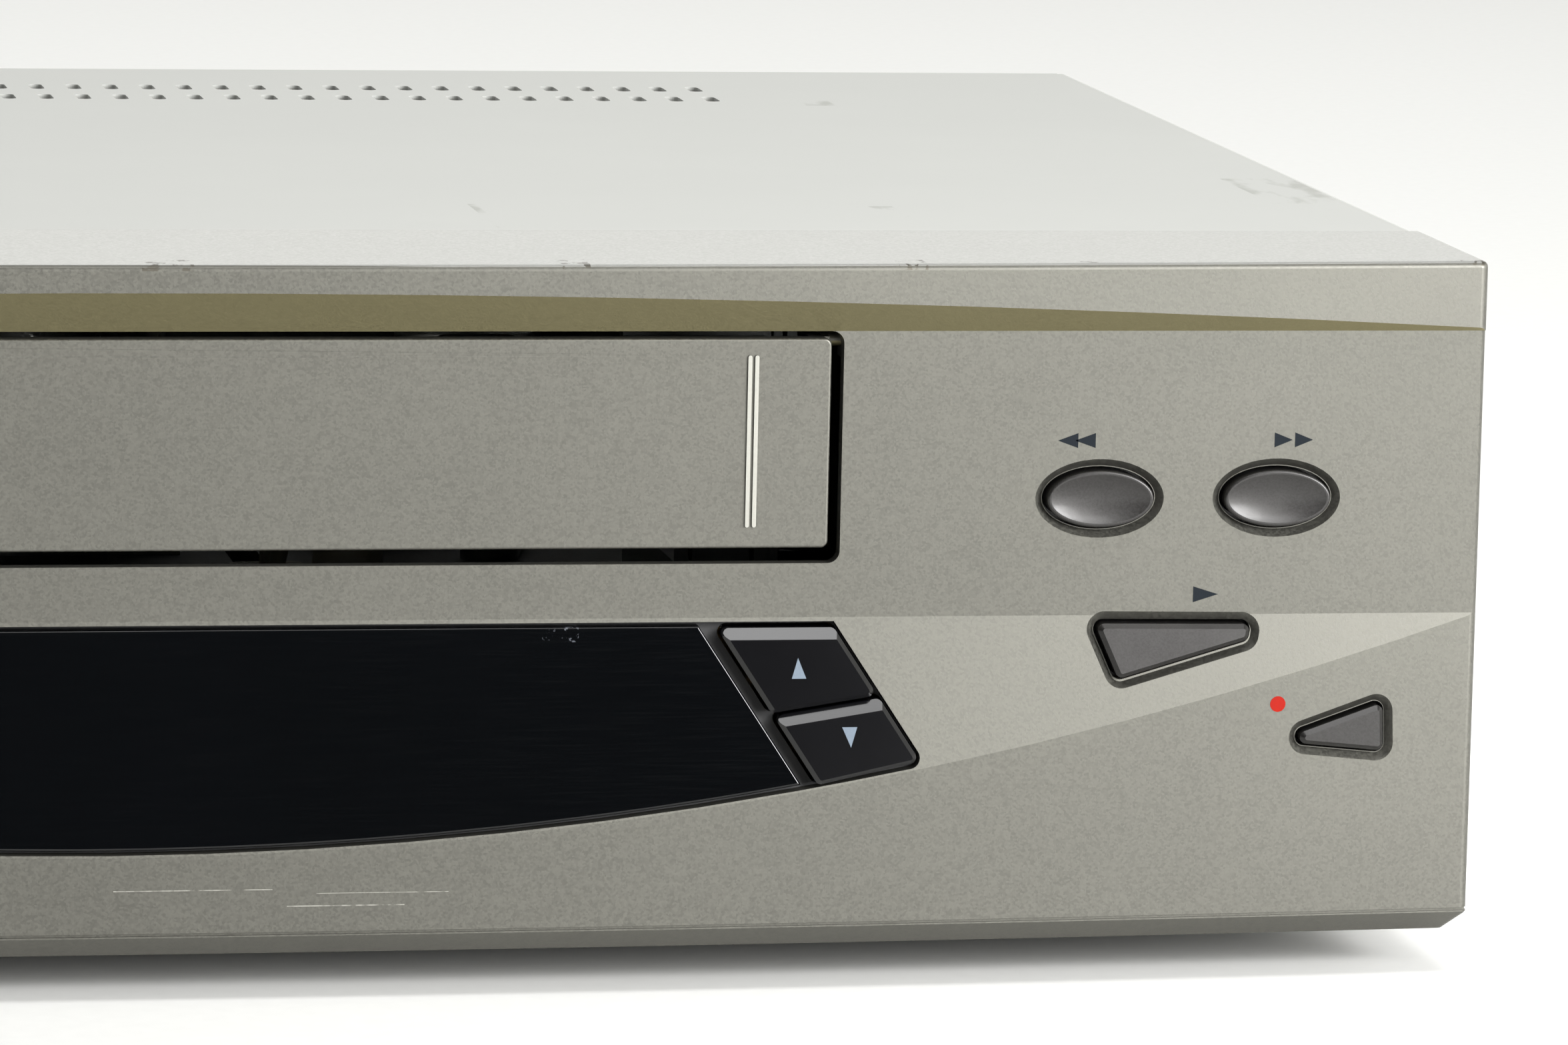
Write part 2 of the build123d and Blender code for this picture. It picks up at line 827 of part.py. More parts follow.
vent_columns = 41
vent_pitch = 6.0
vent_width = 2.2
vent_length = 7.5
vent_rows = (body_depth - 46.0, body_depth - 29.7)     # middle of each row behind the flat
cover_screw_x = half_width - 40.0
cover_screw_drop = 7.5
cover_flange = 13.0
cover_flange_relief = 0.6       # the folded flange stops short of the cover's corners
screw_radius = 1.5
screw_head_radius = 3.2
screw_head_height = 2.0
tongue_reach = 6.0
cover_inner_round = 0.8


def top_cover():
    front = seam_y + seam_gap
    outer = block(-cover_half, cover_half, front, rear_y, bottom_z, cover_top_z)
    long_edges = [edge for edge in outer.edges().filter_by(Axis.Y)
                  if edge.center().Z > cover_top_z - 1]
    outer = fillet(long_edges, cover_inner_round + cover_gauge)
    inner = block(-cover_inner_x, cover_inner_x, front - 1, rear_y + 1,
                  bottom_z - 1, cover_inner_z)
    long_edges = [edge for edge in inner.edges().filter_by(Axis.Y)
                  if edge.center().Z > cover_inner_z - 1]
    cover = outer - fillet(long_edges, cover_inner_round)
    flange_half = cover_inner_x - cover_inner_round - cover_flange_relief
    cover += block(-flange_half, flange_half, rear_y, rear_y + cover_gauge,
                   cover_inner_z - cover_flange, cover_top_z)
    cover += block(-flange_half, flange_half, rear_y - 1, rear_y + cover_gauge,
                   cover_inner_z, cover_top_z)
    under_roof_z = top_z - front_wall
    tongue_half = half_width - front_wall - 8
    cover += block(-tongue_half, tongue_half, front - tongue_reach, front + cover_gauge,
                   under_roof_z - cover_gauge, under_roof_z)
    cover += block(-tongue_half, tongue_half, front, front + cover_gauge,
                   under_roof_z - cover_gauge, cover_top_z)
    first = -(vent_columns - 1) / 2 * vent_pitch
    slots = []
    for setback in vent_rows:
        for column in range(vent_columns):
            place = Pos(first + column * vent_pitch, face_y + setback)
            slots.append(place * SlotOverall(vent_length, vent_width, rotation=90))
    cover -= extrude(Plane.XY.offset(cover_inner_z - 1) * Sketch(children=slots),
                     amount=cover_gauge + 2)
    for x in (-cover_screw_x, 0, cover_screw_x):
        cover -= rod_y(x, rear_y - 1, rear_y + 3, cover_inner_z - cover_screw_drop,
                       screw_radius + 0.3)
    return cover


def cover_screws():
    screws = []
    z = cover_inner_z - cover_screw_drop
    seat = rear_y + cover_gauge
    for x in (-cover_screw_x, 0, cover_screw_x):
        head = rod_y(x, seat, seat + screw_head_height, z, screw_head_radius)
        head = fillet(head.faces().sort_by(Axis.Y)[-1].edges(), 0.8)
        top = seat + screw_head_height
        cross = block(x - 2, x + 2, top - 1, top + 1, z - 0.4, z + 0.4)
        cross += block(x - 0.4, x + 0.4, top - 1, top + 1, z - 2, z + 2)
        screw = head + rod_y(x, rear_inner_y - 4, seat, z, screw_radius) - cross
        screws.append(screw.solid())
    return Compound(children=screws)


foot_radius = 12.0
foot_x = half_width - 40.0
front_foot_setback = 56.0
rear_foot_setback = body_depth - 34.0


def foot(x, setback):
    y = face_y + setback
    body = Pos(x, y, pan_low_z / 2) * Cone(foot_radius - 1.2, foot_radius, pan_low_z)
    body -= post(x, y, -1, 1.0, foot_radius - 4)
    return body


board_half = cover_inner_x - pan_gauge - board_side_gap
board_front_y = face_y + board_front_setback
board_rear_y = rear_inner_y - board_rear_gap
board_bosses = [
    (-board_half + 8, board_front_y + 10), (board_half - 8, board_front_y + 10),
    (-board_half + 8, board_rear_y - 8), (board_half - 8, board_rear_y - 8),
    (-deck_half_width - 14, board_front_y + 100), (deck_half_width + 14, board_front_y + 100),
]
deck_legs = [
    (-deck_half_width + 6, deck_front_y + 6), (deck_half_width - 6, deck_front_y + 6),
    (-deck_half_width + 6, deck_rear_y - 6), (deck_half_width - 6, deck_rear_y - 6),
]
lip_height = 16.0


def chassis_pan():
    inside_bezel = half_width - front_wall - 0.2
    pan = block(-inside_bezel, inside_bezel, face_y + 6, seam_y + seam_gap + 1,
                pan_low_z, pan_top_z)
    pan += block(-cover_inner_x, cover_inner_x, seam_y + seam_gap, rear_inner_y,
                 pan_low_z, pan_top_z)
    for side in (-1, 1):
        lip_x = sorted((side * (cover_inner_x - pan_gauge), side * cover_inner_x))
        pan += block(*lip_x, seam_y + seam_gap, rear_inner_y, pan_low_z, pan_top_z + lip_height)
    for x, y in board_bosses:
        pan += post(x, y, pan_low_z + 0.5, board_low_z, boss_radius)
    return pan


scart_x = -20.0
scart_spacing = 62.0
scart_low_z = board_top_z
scart_half_width = 24.0
scart_height = 15.0
scart_depth = 19.0
tuner_half_width = 27.0
tuner_x = board_half - tuner_half_width - 13.8
tuner_height = 44.0
tuner_depth = 62.0
aerial_radius = 4.8
aerial_heights = (12.0, 32.0)
audio_x = 90.0
audio_half_width = 8.0
audio_height = 34.0
inlet_half_width = 11.0
inlet_x = inlet_half_width + 19.8 - board_half
inlet_height = 17.0
cut_gap = 0.3


def rear_panel():
    half = cover_inner_x - 0.1
    panel = block(-half, half, rear_inner_y, rear_y, pan_low_z, cover_inner_z - 0.1)
    panel = fillet(panel.edges().filter_by(Axis.Y).sort_by(Axis.Z)[-2:], cover_inner_round + 0.4)
    low = rear_inner_y - 1
    high = rear_y + 1
    for step in (0, 1):
        x = scart_x + step * scart_spacing
        panel -= block(x - scart_half_width - cut_gap, x + scart_half_width + cut_gap,
                       low, high, scart_low_z - cut_gap, scart_low_z + scart_height + cut_gap)
    for height in aerial_heights:
        panel -= rod_y(tuner_x, low, high, board_top_z + height, aerial_radius + cut_gap)
    panel -= block(audio_x - audio_half_width - cut_gap, audio_x + audio_half_width + cut_gap,
                   low, high, board_top_z - cut_gap, board_top_z + audio_height + cut_gap)
    panel -= block(inlet_x - inlet_half_width - cut_gap, inlet_x + inlet_half_width + cut_gap,
                   low, high, board_top_z - cut_gap, board_top_z + inlet_height + cut_gap)
    for x in (-cover_screw_x, 0, cover_screw_x):
        panel -= rod_y(x, low, high, cover_inner_z - cover_screw_drop,
                       screw_radius + running_gap)
    return panel


save("top_cover", top_cover())
save("cover_screws", cover_screws())
save("front_left_foot", foot(-foot_x, front_foot_setback))
save("front_right_foot", foot(foot_x, front_foot_setback))
save("rear_left_foot", foot(-foot_x, rear_foot_setback))
save("rear_right_foot", foot(foot_x, rear_foot_setback))
save("chassis_pan", chassis_pan())
save("rear_panel", rear_panel())


# ---- Main board and what stands on it ----------------------------------------------------------

power_board_half_x = (-board_half, -deck_half_width - 6)


def main_board():
    board = block(-board_half, board_half, board_front_y, board_rear_y, board_low_z, board_top_z)
    for x, y in deck_legs:
        board -= post(x, y, board_low_z - 1, board_top_z + 1, deck_leg_radius + 1)
    for x, y in board_bosses:
        board -= post(x, y, board_low_z - 1, board_top_z + 1, screw_radius + 0.2)
    return board


def inner_screws():
    screws = []
    for x, y in board_bosses:
        head = post(x, y, board_top_z, board_top_z + screw_head_height, screw_head_radius)
        shank = post(x, y, board_low_z, board_top_z, screw_radius)
        screws.append((fillet(head.faces().sort_by(Axis.Z)[-1].edges(), 0.8) + shank).solid())
    for x, y in deck_legs:
        head = post(x, y, deck_top_z, deck_top_z + screw_head_height, screw_head_radius)
        screws.append(fillet(head.faces().sort_by(Axis.Z)[-1].edges(), 0.8).solid())
    return Compound(children=screws)


right_wing = board_half - 180.8      # moves what stands by the board's right side with that side
left_wing = -right_wing
# Chips on the main board: x, setback behind the flat, width, length, height.
chip_sizes = [
    (-78.0, 92.0, 20.0, 20.0, 2.4),
    (-62.0, 150.0, 36.0, 9.0, 2.6),
    (20.0, 84.0, 14.0, 30.0, 2.4),
    (82.0, 120.0, 24.0, 24.0, 2.4),
    (right_wing + 148.0, 96.0, 30.0, 30.0, 3.2),
    (right_wing + 150.0, 150.0, 16.0, 40.0, 3.2),
    (-20.0, body_depth - 56.0, 28.0, 14.0, 2.4),
]
# Electrolytic capacitors on the main board: x, setback, radius, height.
capacitor_sizes = [
    (right_wing + 126.0, 70.0, 4.0, 11.0), (right_wing + 136.0, 70.0, 4.0, 11.0),
    (right_wing + 170.0, 70.0, 5.0, 12.5), (right_wing + 130.0, 130.0, 3.2, 11.0),
    (right_wing + 172.0, 122.0, 3.2, 11.0), (right_wing + 128.0, body_depth - 94.0, 5.0, 16.0),
    (right_wing + 172.0, body_depth - 86.0, 4.0, 11.0),
    (left_wing - 122.0, 74.0, 4.0, 11.0), (left_wing - 134.0, 74.0, 4.0, 11.0),
    (left_wing - 160.0, 84.0, 6.5, 20.0), (left_wing - 122.0, 96.0, 3.2, 11.0),
    (left_wing - 174.0, 110.0, 5.0, 12.5),
]
power_capacitor = (left_wing - 164.0, body_depth - 94.0, 11.0, 30.0)


def board_chips():
    chips = []
    for x, setback, width, length, height in chip_sizes:
        y = face_y + setback
        chip = block(x - width / 2, x + width / 2, y - length / 2, y + length / 2,
                     board_top_z, board_top_z + height)
        chips.append(chamfer(chip.faces().sort_by(Axis.Z)[-1].edges(), 0.3).solid())
    return Compound(children=chips)


power_board_lift = 8.0
power_board_z = board_top_z + power_board_lift
power_board_rear_gap = 22.0     # room behind the mains supply board for the inlet
power_board_length = 111.0
power_board_rear_y = board_rear_y - power_board_rear_gap
power_board_front_y = power_board_rear_y - power_board_length


def capacitor(x, y, radius, low_z, height):
    can = post(x, y, low_z, low_z + height, radius)
    can = fillet(can.faces().sort_by(Axis.Z)[-1].edges(), 0.5)
    can -= post(x, y, low_z + height - 0.3, low_z + height + 1, radius - 1)
    return can.solid()


def board_capacitors():
    cans = []
    for x, setback, radius, height in capacitor_sizes:
        cans.append(capacitor(x, face_y + setback, radius, board_top_z, height))
    x, setback, radius, height = power_capacitor
    cans.append(capacitor(x, face_y + setback, radius, power_board_z + board_gauge, height))
    return Compound(children=cans)


def power_board():
    """The mains supply's own board, on four pillars above the main board."""
    low_x, high_x = power_board_half_x
    rear = power_board_rear_y
    board = block(low_x, high_x, power_board_front_y, rear,
                  power_board_z, power_board_z + board_gauge)
    for x in (low_x + 5, high_x - 5):
        for y in (power_board_front_y + 5, rear - 5):
            board += post(x, y, board_top_z, power_board_z, 2.5)
    return board


def transformer():
    x = (power_board_half_x[0] + power_board_half_x[1]) / 2 + 8
    y = power_board_rear_y - 27
    low = power_board_z + board_gauge
    core = block(x - 17, x + 17, y - 7, y + 7, low + 3, low + 33)
    core -= block(x - 11.5, x - 5.5, y - 8, y + 8, low + 9, low + 27)
    core -= block(x + 5.5, x + 11.5, y - 8, y + 8, low + 9, low + 27)
    winding = block(x - 11.4, x + 11.4, y - 13, y + 13, low + 10, low + 26)
    winding = fillet(winding.edges().filter_by(Axis.Z), 4)
    base = block(x - 18, x + 18, y - 14, y + 14, low, low + 3)
    return core + winding + base


def tuner_can():
    """The screened tuner, with two openings for its sockets."""
    front = rear_inner_y - tuner_depth
    can = block(tuner_x - tuner_half_width, tuner_x + tuner_half_width, front,
                rear_inner_y - 0.2, board_top_z, board_top_z + tuner_height)
    can = fillet(can.edges().filter_by(Axis.Z), 1.0)
    for height in aerial_heights:
        can -= rod_y(tuner_x, rear_inner_y - 6, rear_inner_y + 1, board_top_z + height, 4.0)
    return can


def aerial_sockets():
    sockets = []
    for height in aerial_heights:
        z = board_top_z + height
        barrel = rod_y(tuner_x, rear_inner_y - 0.2, rear_y + socket_reach, z, aerial_radius)
        barrel += rod_y(tuner_x, rear_inner_y - 6, rear_inner_y, z, 4.0)
        bore = rod_y(tuner_x, rear_y - 3, rear_y + socket_reach + 1, z, aerial_radius - 1.0)
        pin = rod_y(tuner_x, rear_y - 4, rear_y + socket_reach - 1.5, z, 1.2)
        sockets.append((barrel - bore + pin).solid())
    return Compound(children=sockets)


def scart_sockets():
    """Two 21-pin sockets: a block of contacts inside a screened shell."""
    sockets = []
    low = scart_low_z
    high = low + scart_height
    front = rear_inner_y - scart_depth
    face = rear_y + 0.6
    for step in (0, 1):
        x = scart_x + step * scart_spacing
        body = block(x - scart_half_width, x + scart_half_width, front, face, low, high)
        ring = rectangle(x - scart_half_width + 0.9, x + scart_half_width - 0.9,
                         low + 0.9, high - 0.9)
        core = polygon([
            (x - scart_half_width + 3, low + 2.8), (x + scart_half_width - 6, low + 2.8),
            (x + scart_half_width - 3, low + 5.8), (x + scart_half_width - 3, high - 2.8),
            (x - scart_half_width + 3, high - 2.8)])
        body -= prism_y(ring - core, face - 9, face + 1)
        for contact in range(10):
            contact_x = x - 17.5 + contact * 3.8
            body -= block(contact_x - 0.5, contact_x + 0.5, face - 8, face + 1,
                          low + 4.0, low + 6.2)
            body -= block(contact_x + 1.4, contact_x + 2.4, face - 8, face + 1,
                          high - 6.2, high - 4.0)
        sockets.append(body.solid())
    return Compound(children=sockets)


def audio_sockets():
    """A block with two phono sockets, one above the other."""
    low = board_top_z
    block_front = rear_inner_y - 14
    body = block(audio_x - audio_half_width, audio_x + audio_half_width,
                 block_front, rear_y + 0.6, low, low + audio_height)
    for height in (8.5, 25.5):
        z = low + height
        body -= rod_y(audio_x, rear_y - 8, rear_y + 1, z, 6.0)
        barrel = rod_y(audio_x, rear_y - 9, rear_y + 3.0, z, 4.15)
        body += barrel - rod_y(audio_x, rear_y - 6, rear_y + 4, z, 1.6)
    return body


def mains_inlet():
    """A figure-eight mains inlet with its two pins."""
    low = board_top_z
    z = low + inlet_height / 2
    body = block(inlet_x - inlet_half_width, inlet_x + inlet_half_width,
                 rear_inner_y - 18, rear_y + 0.8, low, low + inlet_height)
    mouth = Pos(inlet_x, z) * SlotOverall(16.6, 9.0)
    body -= prism_y(mouth, rear_y - 11, rear_y + 2)
    for side in (-1, 1):
        body += rod_y(inlet_x + side * 4.3, rear_y - 12, rear_y - 1.5, z, 1.2)
    return body


save("main_board", main_board())
save("inner_screws", inner_screws())
save("board_chips", board_chips())
save("board_capacitors", board_capacitors())
save("power_board", power_board())
save("transformer", transformer())
save("tuner_can", tuner_can())
save("aerial_sockets", aerial_sockets())
save("scart_sockets", scart_sockets())
save("audio_sockets", audio_sockets())
save("mains_inlet", mains_inlet())


# ---- Deck plate and loader ---------------------------------------------------------------------

drum_y = face_y + drum_setback
reel_y = face_y + reel_setback
capstan_y = face_y + capstan_setback
clutch_y = face_y + clutch_setback
guide_y = face_y + guide_rest_setback
pinch_pivot_y = face_y + pinch_pivot_setback
pinch_rest = radians(-90.0 - 12.9)
pinch_arm_length = 30.4
pinch_x = pinch_pivot_x + pinch_arm_length * cos(pinch_rest)
pinch_y = pinch_pivot_y + pinch_arm_length * sin(pinch_rest)
tension_pivot_x = -84.0
tension_pivot_before_drum = 26.0
tension_pivot_y = drum_y - tension_pivot_before_drum
tension_arm_reach = 26.0        # from the pivot forward to the tip
cam_x = -82.0
cam_behind_drum = 6.0
cam_y = drum_y + cam_behind_drum
cam_radius = 19.0
motor_x = 82.0
motor_behind_drum = 24.0
motor_y = drum_y + motor_behind_drum
guide_slot_half = 2.5
axle_radius = 2.0
reel_axle_radius = 2.5
reel_lift = 0.6
reel_cap = 1.5              # closed top of a reel table's spindle
capstan_collar_radius = 4.0
capstan_collar_height = 6.0
guide_washer_low = 2.0      # lower face of a guide's washer under the deck plate
flywheel_top_z = deck_low_z - guide_washer_low - 0.5


def deck_plate():
    plate = block(-deck_half_width, deck_half_width, deck_front_y, deck_rear_y,
                  deck_low_z, deck_top_z)
    cut = (deck_low_z - 1, deck_top_z + 1)
    for side in (-1, 1):
        middle = guide_y + guide_travel / 2
        slot = Pos(side * guide_x, middle) * SlotOverall(
            guide_travel + 2 * guide_slot_half + 2, 2 * guide_slot_half, rotation=90)
        plate -= prism_z(slot, *cut)
    plate -= post(0, clutch_y, *cut, axle_radius + running_gap)
    for x, y in deck_legs:
        plate += post(x, y, pan_top_z, deck_low_z + 0.5, deck_leg_radius)
    for side in (-1, 1):
        plate += post(side * reel_half_spacing, reel_y, deck_low_z,
                      deck_top_z + reel_lift + reel_spindle_height - reel_cap - soft_gap,
                      reel_axle_radius)
    plate += post(pinch_pivot_x, pinch_pivot_y, deck_low_z, deck_top_z + 8, axle_radius)
    plate += post(tension_pivot_x, tension_pivot_y, deck_low_z, deck_top_z + 5, axle_radius)
    plate += post(cam_x, cam_y, deck_low_z, deck_top_z + 9, axle_radius)
    plate += post(capstan_x, capstan_y, flywheel_top_z + soft_gap,
                  deck_top_z + capstan_collar_height, capstan_collar_radius)
    plate -= post(capstan_x, capstan_y, flywheel_top_z, deck_top_z + capstan_collar_height + 1,
                  capstan_radius + running_gap)
    return plate


save("deck_plate", deck_plate())

holder_pin_z = holder_low_z + 6.0
holder_pin_ys = (holder_front_y + 14, holder_rear_y - 14)
guide_pin_z = holder_pin_z + 13.0
guide_pin_ys = (holder_front_y + 6, holder_rear_y - 6)
slide_front_y = holder_front_y
slide_rear_y = holder_rear_y
slide_top_z = holder_top_z + 3.6
slide_low_z = holder_pin_z - cassette_drop - holder_pin_radius - 3.0
pinion_y = holder_front_y + 62.0
pinion_z = slide_top_z - tooth_addendum + pinion_pitch_radius
pinion_step = 2 * pi * pinion_pitch_radius / pinion_teeth
bracket_front_y = holder_front_y - 1
bracket_rear_y = holder_rear_y + loading_travel + 8
bracket_top_z = pinion_z + 2.5


def bracket(side):
    """A side wall of the loader, with slots for the slide's pins."""
    wall_x = sorted((side * bracket_inner_x, side * bracket_outer_x))
    plate = block(*wall_x, bracket_front_y + 18, bracket_rear_y, deck_top_z, bracket_top_z)
    plate += block(*wall_x, bracket_front_y, bracket_front_y + 19,
                   guide_pin_z - 12, bracket_top_z)
    foot_x_range = sorted((side * bracket_inner_x, side * (deck_half_width - 1)))
    plate += block(*foot_x_range, bracket_front_y + 30, bracket_rear_y - 6,
                   deck_top_z, deck_top_z + bracket_gauge)
    for y in guide_pin_ys:
        reach = guide_pin_radius + slot_play
        slot = Pos(y + loading_travel / 2, guide_pin_z) * SlotOverall(
            loading_travel + 2 * reach, 2 * reach)
        plate -= prism_x(slot, wall_x[0] - 1, wall_x[1] + 1)
    plate -= rod_x(wall_x[0] - 1, wall_x[1] + 1, pinion_y, pinion_z, shaft_radius + running_gap)
    window = rectangle(holder_rear_y - 38, bracket_rear_y - 16, deck_top_z + 8, guide_pin_z - 8)
    plate -= prism_x(window, wall_x[0] - 1, wall_x[1] + 1)
    return plate


save("left_bracket", bracket(-1))
save("right_bracket", bracket(1))


def rack_side():
    """One side of the slide, with its rack along the upper edge."""
    rack_rear = pinion_y + 4
    rack_front = pinion_y - loading_travel - 4
    tip = slide_top_z
    root = slide_top_z - 2 * tooth_addendum - tooth_clearance
    points = [(slide_front_y, slide_low_z), (slide_rear_y, slide_low_z), (slide_rear_y, root)]
    first = ceil((rack_front - pinion_y) / pinion_step - 0.5)
    last = int((rack_rear - pinion_y) / pinion_step - 0.5)
    for tooth in range(last, first - 1, -1):
        y = pinion_y + (tooth + 0.5) * pinion_step
        foot_half = pinion_step * 0.21
        tip_half = pinion_step * 0.10
        points += [(y + foot_half, root), (y + tip_half, tip),
                   (y - tip_half, tip), (y - foot_half, root)]
    points.append((slide_front_y, root))
    return polygon(points)


def slide_frame():
    """The moving slide: two racked side plates joined by a bar over the holder."""
    outline = rack_side()
    width = 2 * (holder_pin_radius + slot_play)
    for y in holder_pin_ys:
        slot = Pos(y, holder_pin_z - cassette_drop / 2) * SlotOverall(
            cassette_drop + width, width, rotation=90)
        outline -= slot
    side = prism_x(outline, slide_inner_x, slide_outer_x)
    for y in guide_pin_ys:
        side += rod_x(slide_inner_x + 0.2, bracket_outer_x + 1.5, y, guide_pin_z,
                      guide_pin_radius)
    frame = side + mirrored(side)
    bar_top = slide_top_z - 2 * tooth_addendum - tooth_clearance
    frame += block(-slide_outer_x, slide_outer_x, slide_front_y, slide_front_y + 8,
                   bar_top - slide_gauge, bar_top)
    return frame


def cassette_holder():
    """The sheet-steel carrier that the cassette slides into."""
    low = holder_low_z
    high = holder_top_z
    gauge = holder_gauge
    inner = holder_inner_x
    outer = holder_outer_x
    side = block(inner, outer, holder_front_y, holder_rear_y, low, high)
    side += block(inner - holder_ledge, outer, holder_front_y, holder_rear_y, low, low + gauge)
    side += block(inner - 20, outer, holder_front_y, holder_rear_y, high - gauge, high)
    for y in holder_pin_ys:
        side += rod_x(inner + 0.2, slide_outer_x + 0.2, y, holder_pin_z, holder_pin_radius)
    holder = side + mirrored(side)
    holder += block(-inner, inner, holder_front_y + 12, holder_front_y + 40, high - gauge, high)
    stop = block(inner - 5, inner + 0.5, holder_rear_y - 1, holder_rear_y, low, low + 8)
    holder += stop + mirrored(stop)
    for x in (-55.0, 55.0):
        finger = block(x - 8, x + 8, holder_front_y + 39, holder_front_y + 62,
                       high - gauge, high - gauge + 0.5)
        holder += finger
    return holder


def pinion():
    return gear_outline(pinion_teeth, pinion_pitch_radius, tooth_addendum)


def loading_shaft():
    """The shaft across the loader that keeps both sides of the slide in step."""
    reach = bracket_outer_x + 2
    shaft = rod_x(-reach, reach, pinion_y, pinion_z, shaft_radius)
    for side in (-1, 1):
        gear_x = sorted((side * (slide_inner_x - 0.6), side * (slide_outer_x + 0.2)))
        turned = Plane(origin=(gear_x[0], pinion_y, pinion_z), x_dir=(0, 1, 0), z_dir=(1, 0, 0))
        shaft += extrude(turned * pinion(), amount=gear_x[1] - gear_x[0])
    return shaft


save("slide_frame", slide_frame())
save("cassette_holder", cassette_holder())
save("loading_shaft", loading_shaft())


# ---- Tape transport --------------------------------------------------------------------------

drum_base_z = deck_top_z + 22.0
tilted = Plane(origin=(0, drum_y, drum_base_z), x_dir=(1, 0, 0),
               z_dir=(0, sin(radians(drum_tilt)), cos(radians(drum_tilt))))
drum_shaft_radius = 3.0


def tilted_disc(low, high, radius):
    """A disc around the drum's tilted axis, between two places along it."""
    return tilted * Pos(0, 0, (low + high) / 2) * Cylinder(radius, high - low)


def drum_base():
    """The fixed lower drum on its wedge-shaped foot, with the rabbet that guides the tape."""
    base = tilted_disc(-lower_drum_height, 0, drum_radius)
    base -= tilted_disc(-0.4, 1, drum_radius - 0.8) - tilted_disc(-0.5, 1, drum_radius - 12)
    base += tilted_disc(-lower_drum_height - 10, -lower_drum_height + 0.5, drum_radius - 9)
    base -= block(-60, 60, drum_y - 60, drum_y + 60, deck_top_z - 30, deck_top_z)
    half = guide_x - 8
    foot_plate = block(-half + 2, half - 2, drum_y - 24, drum_y + 28, deck_top_z, deck_top_z + 2)
    base += foot_plate
    base -= tilted_disc(-lower_drum_height - 2, 2, drum_shaft_radius + running_gap)
    return base


def upper_drum():
    """The spinning upper drum with its two head notches, shaft and collar."""
    drum = tilted_disc(drum_gap, drum_gap + upper_drum_height, drum_radius)
    top_edge = drum.edges().filter_by(GeomType.CIRCLE).sort_by(Axis.Z)[-1]
    drum = fillet(top_edge, 0.8)
    for side in (-1, 1):
        notch = tilted * Pos(side * (drum_radius - 1.5), 0, drum_gap + 1) * Box(6, 4, 3)
        drum -= notch
    drum -= tilted_disc(drum_gap + upper_drum_height - 3, drum_gap + upper_drum_height + 1,
                        drum_radius - 9)
    drum += tilted_disc(drum_gap + upper_drum_height - 4, drum_gap + upper_drum_height + 3, 9.0)
    drum += tilted_disc(-lower_drum_height + 2, drum_gap + upper_drum_height, drum_shaft_radius)
    return drum


def reel(side):
    """A reel table with six drive splines that enter the cassette's hub."""
    x = side * reel_half_spacing
    low = deck_top_z + reel_lift
    table = post(x, reel_y, low, low + reel_gauge, reel_radius)
    table -= post(x, reel_y, low + 2.5, low + reel_gauge + 1, reel_radius - 2) - post(
        x, reel_y, low, low + reel_gauge + 2, 9.0)
    table += post(x, reel_y, low, low + reel_spindle_height, reel_spindle_radius)
    top = low + reel_spindle_height
    for step in range(6):
        spline = Pos(x, reel_y, 0) * Rot(0, 0, 60 * step) * block(
            reel_spindle_radius - 0.6, reel_spindle_radius + 2.2, -0.9, 0.9,
            low + reel_gauge - 1, top - 3)
        table += spline
    table -= post(x, reel_y, low - 1, top - reel_cap, reel_axle_radius + running_gap)
    return table


belt_low_z = deck_low_z - 8.8
belt_high_z = belt_low_z + belt_height


def clutch_pulley():
    """The clutch under the deck, with its friction hub above it."""
    low = belt_low_z - 1.3
    pulley = post(0, clutch_y, low, belt_high_z + 3.5, clutch_radius)
    groove = post(0, clutch_y, belt_low_z - soft_gap, belt_high_z + soft_gap, clutch_radius + 1)
    groove -= post(0, clutch_y, low, belt_high_z + 3, clutch_radius - belt_gauge - soft_gap)
    pulley -= groove
    pulley += post(0, clutch_y, low, deck_top_z + 7, axle_radius)
    pulley += post(0, clutch_y, deck_top_z + 0.5, deck_top_z + 4.2, clutch_hub_radius)
    return pulley


def capstan():
    """The capstan shaft with its flywheel and belt pulley under the deck."""
    low = belt_low_z - 0.7
    wheel_low = belt_high_z + 1.2
    spindle = post(capstan_x, capstan_y, low, deck_top_z + 30, capstan_radius)
    wheel = post(capstan_x, capstan_y, wheel_low, flywheel_top_z, flywheel_radius)
    pulley = post(capstan_x, capstan_y, low, wheel_low + 0.2, pulley_radius)
    return spindle + wheel + pulley


idler_arm_length = clutch_hub_radius + idler_radius + soft_gap
idler_y = clutch_y - idler_arm_length
idler_low_z = deck_top_z + 0.6


def idler_arm():
    """The swinging arm that takes the idler wheel to either reel."""
    low = deck_top_z + 4.5
    outline = Pos(0, clutch_y - idler_arm_length / 2) * SlotOverall(
        idler_arm_length + 9, 9, rotation=90)
    arm = prism_z(outline, low, low + 1.2)
    arm -= post(0, clutch_y, low - 1, low + 3, axle_radius + running_gap)
    arm += post(0, idler_y, idler_low_z, low + 0.5, 1.5)
    return arm


def idler_wheel():
    wheel = post(0, idler_y, idler_low_z, idler_low_z + 3.6, idler_radius - idler_tyre)
    tyre = post(0, idler_y, idler_low_z + 0.4, idler_low_z + 3.2, idler_radius)
    wheel += fillet(tyre.edges().filter_by(GeomType.CIRCLE), 0.6)
    return wheel - post(0, idler_y, idler_low_z - 1, idler_low_z + 5, 1.5 + running_gap)


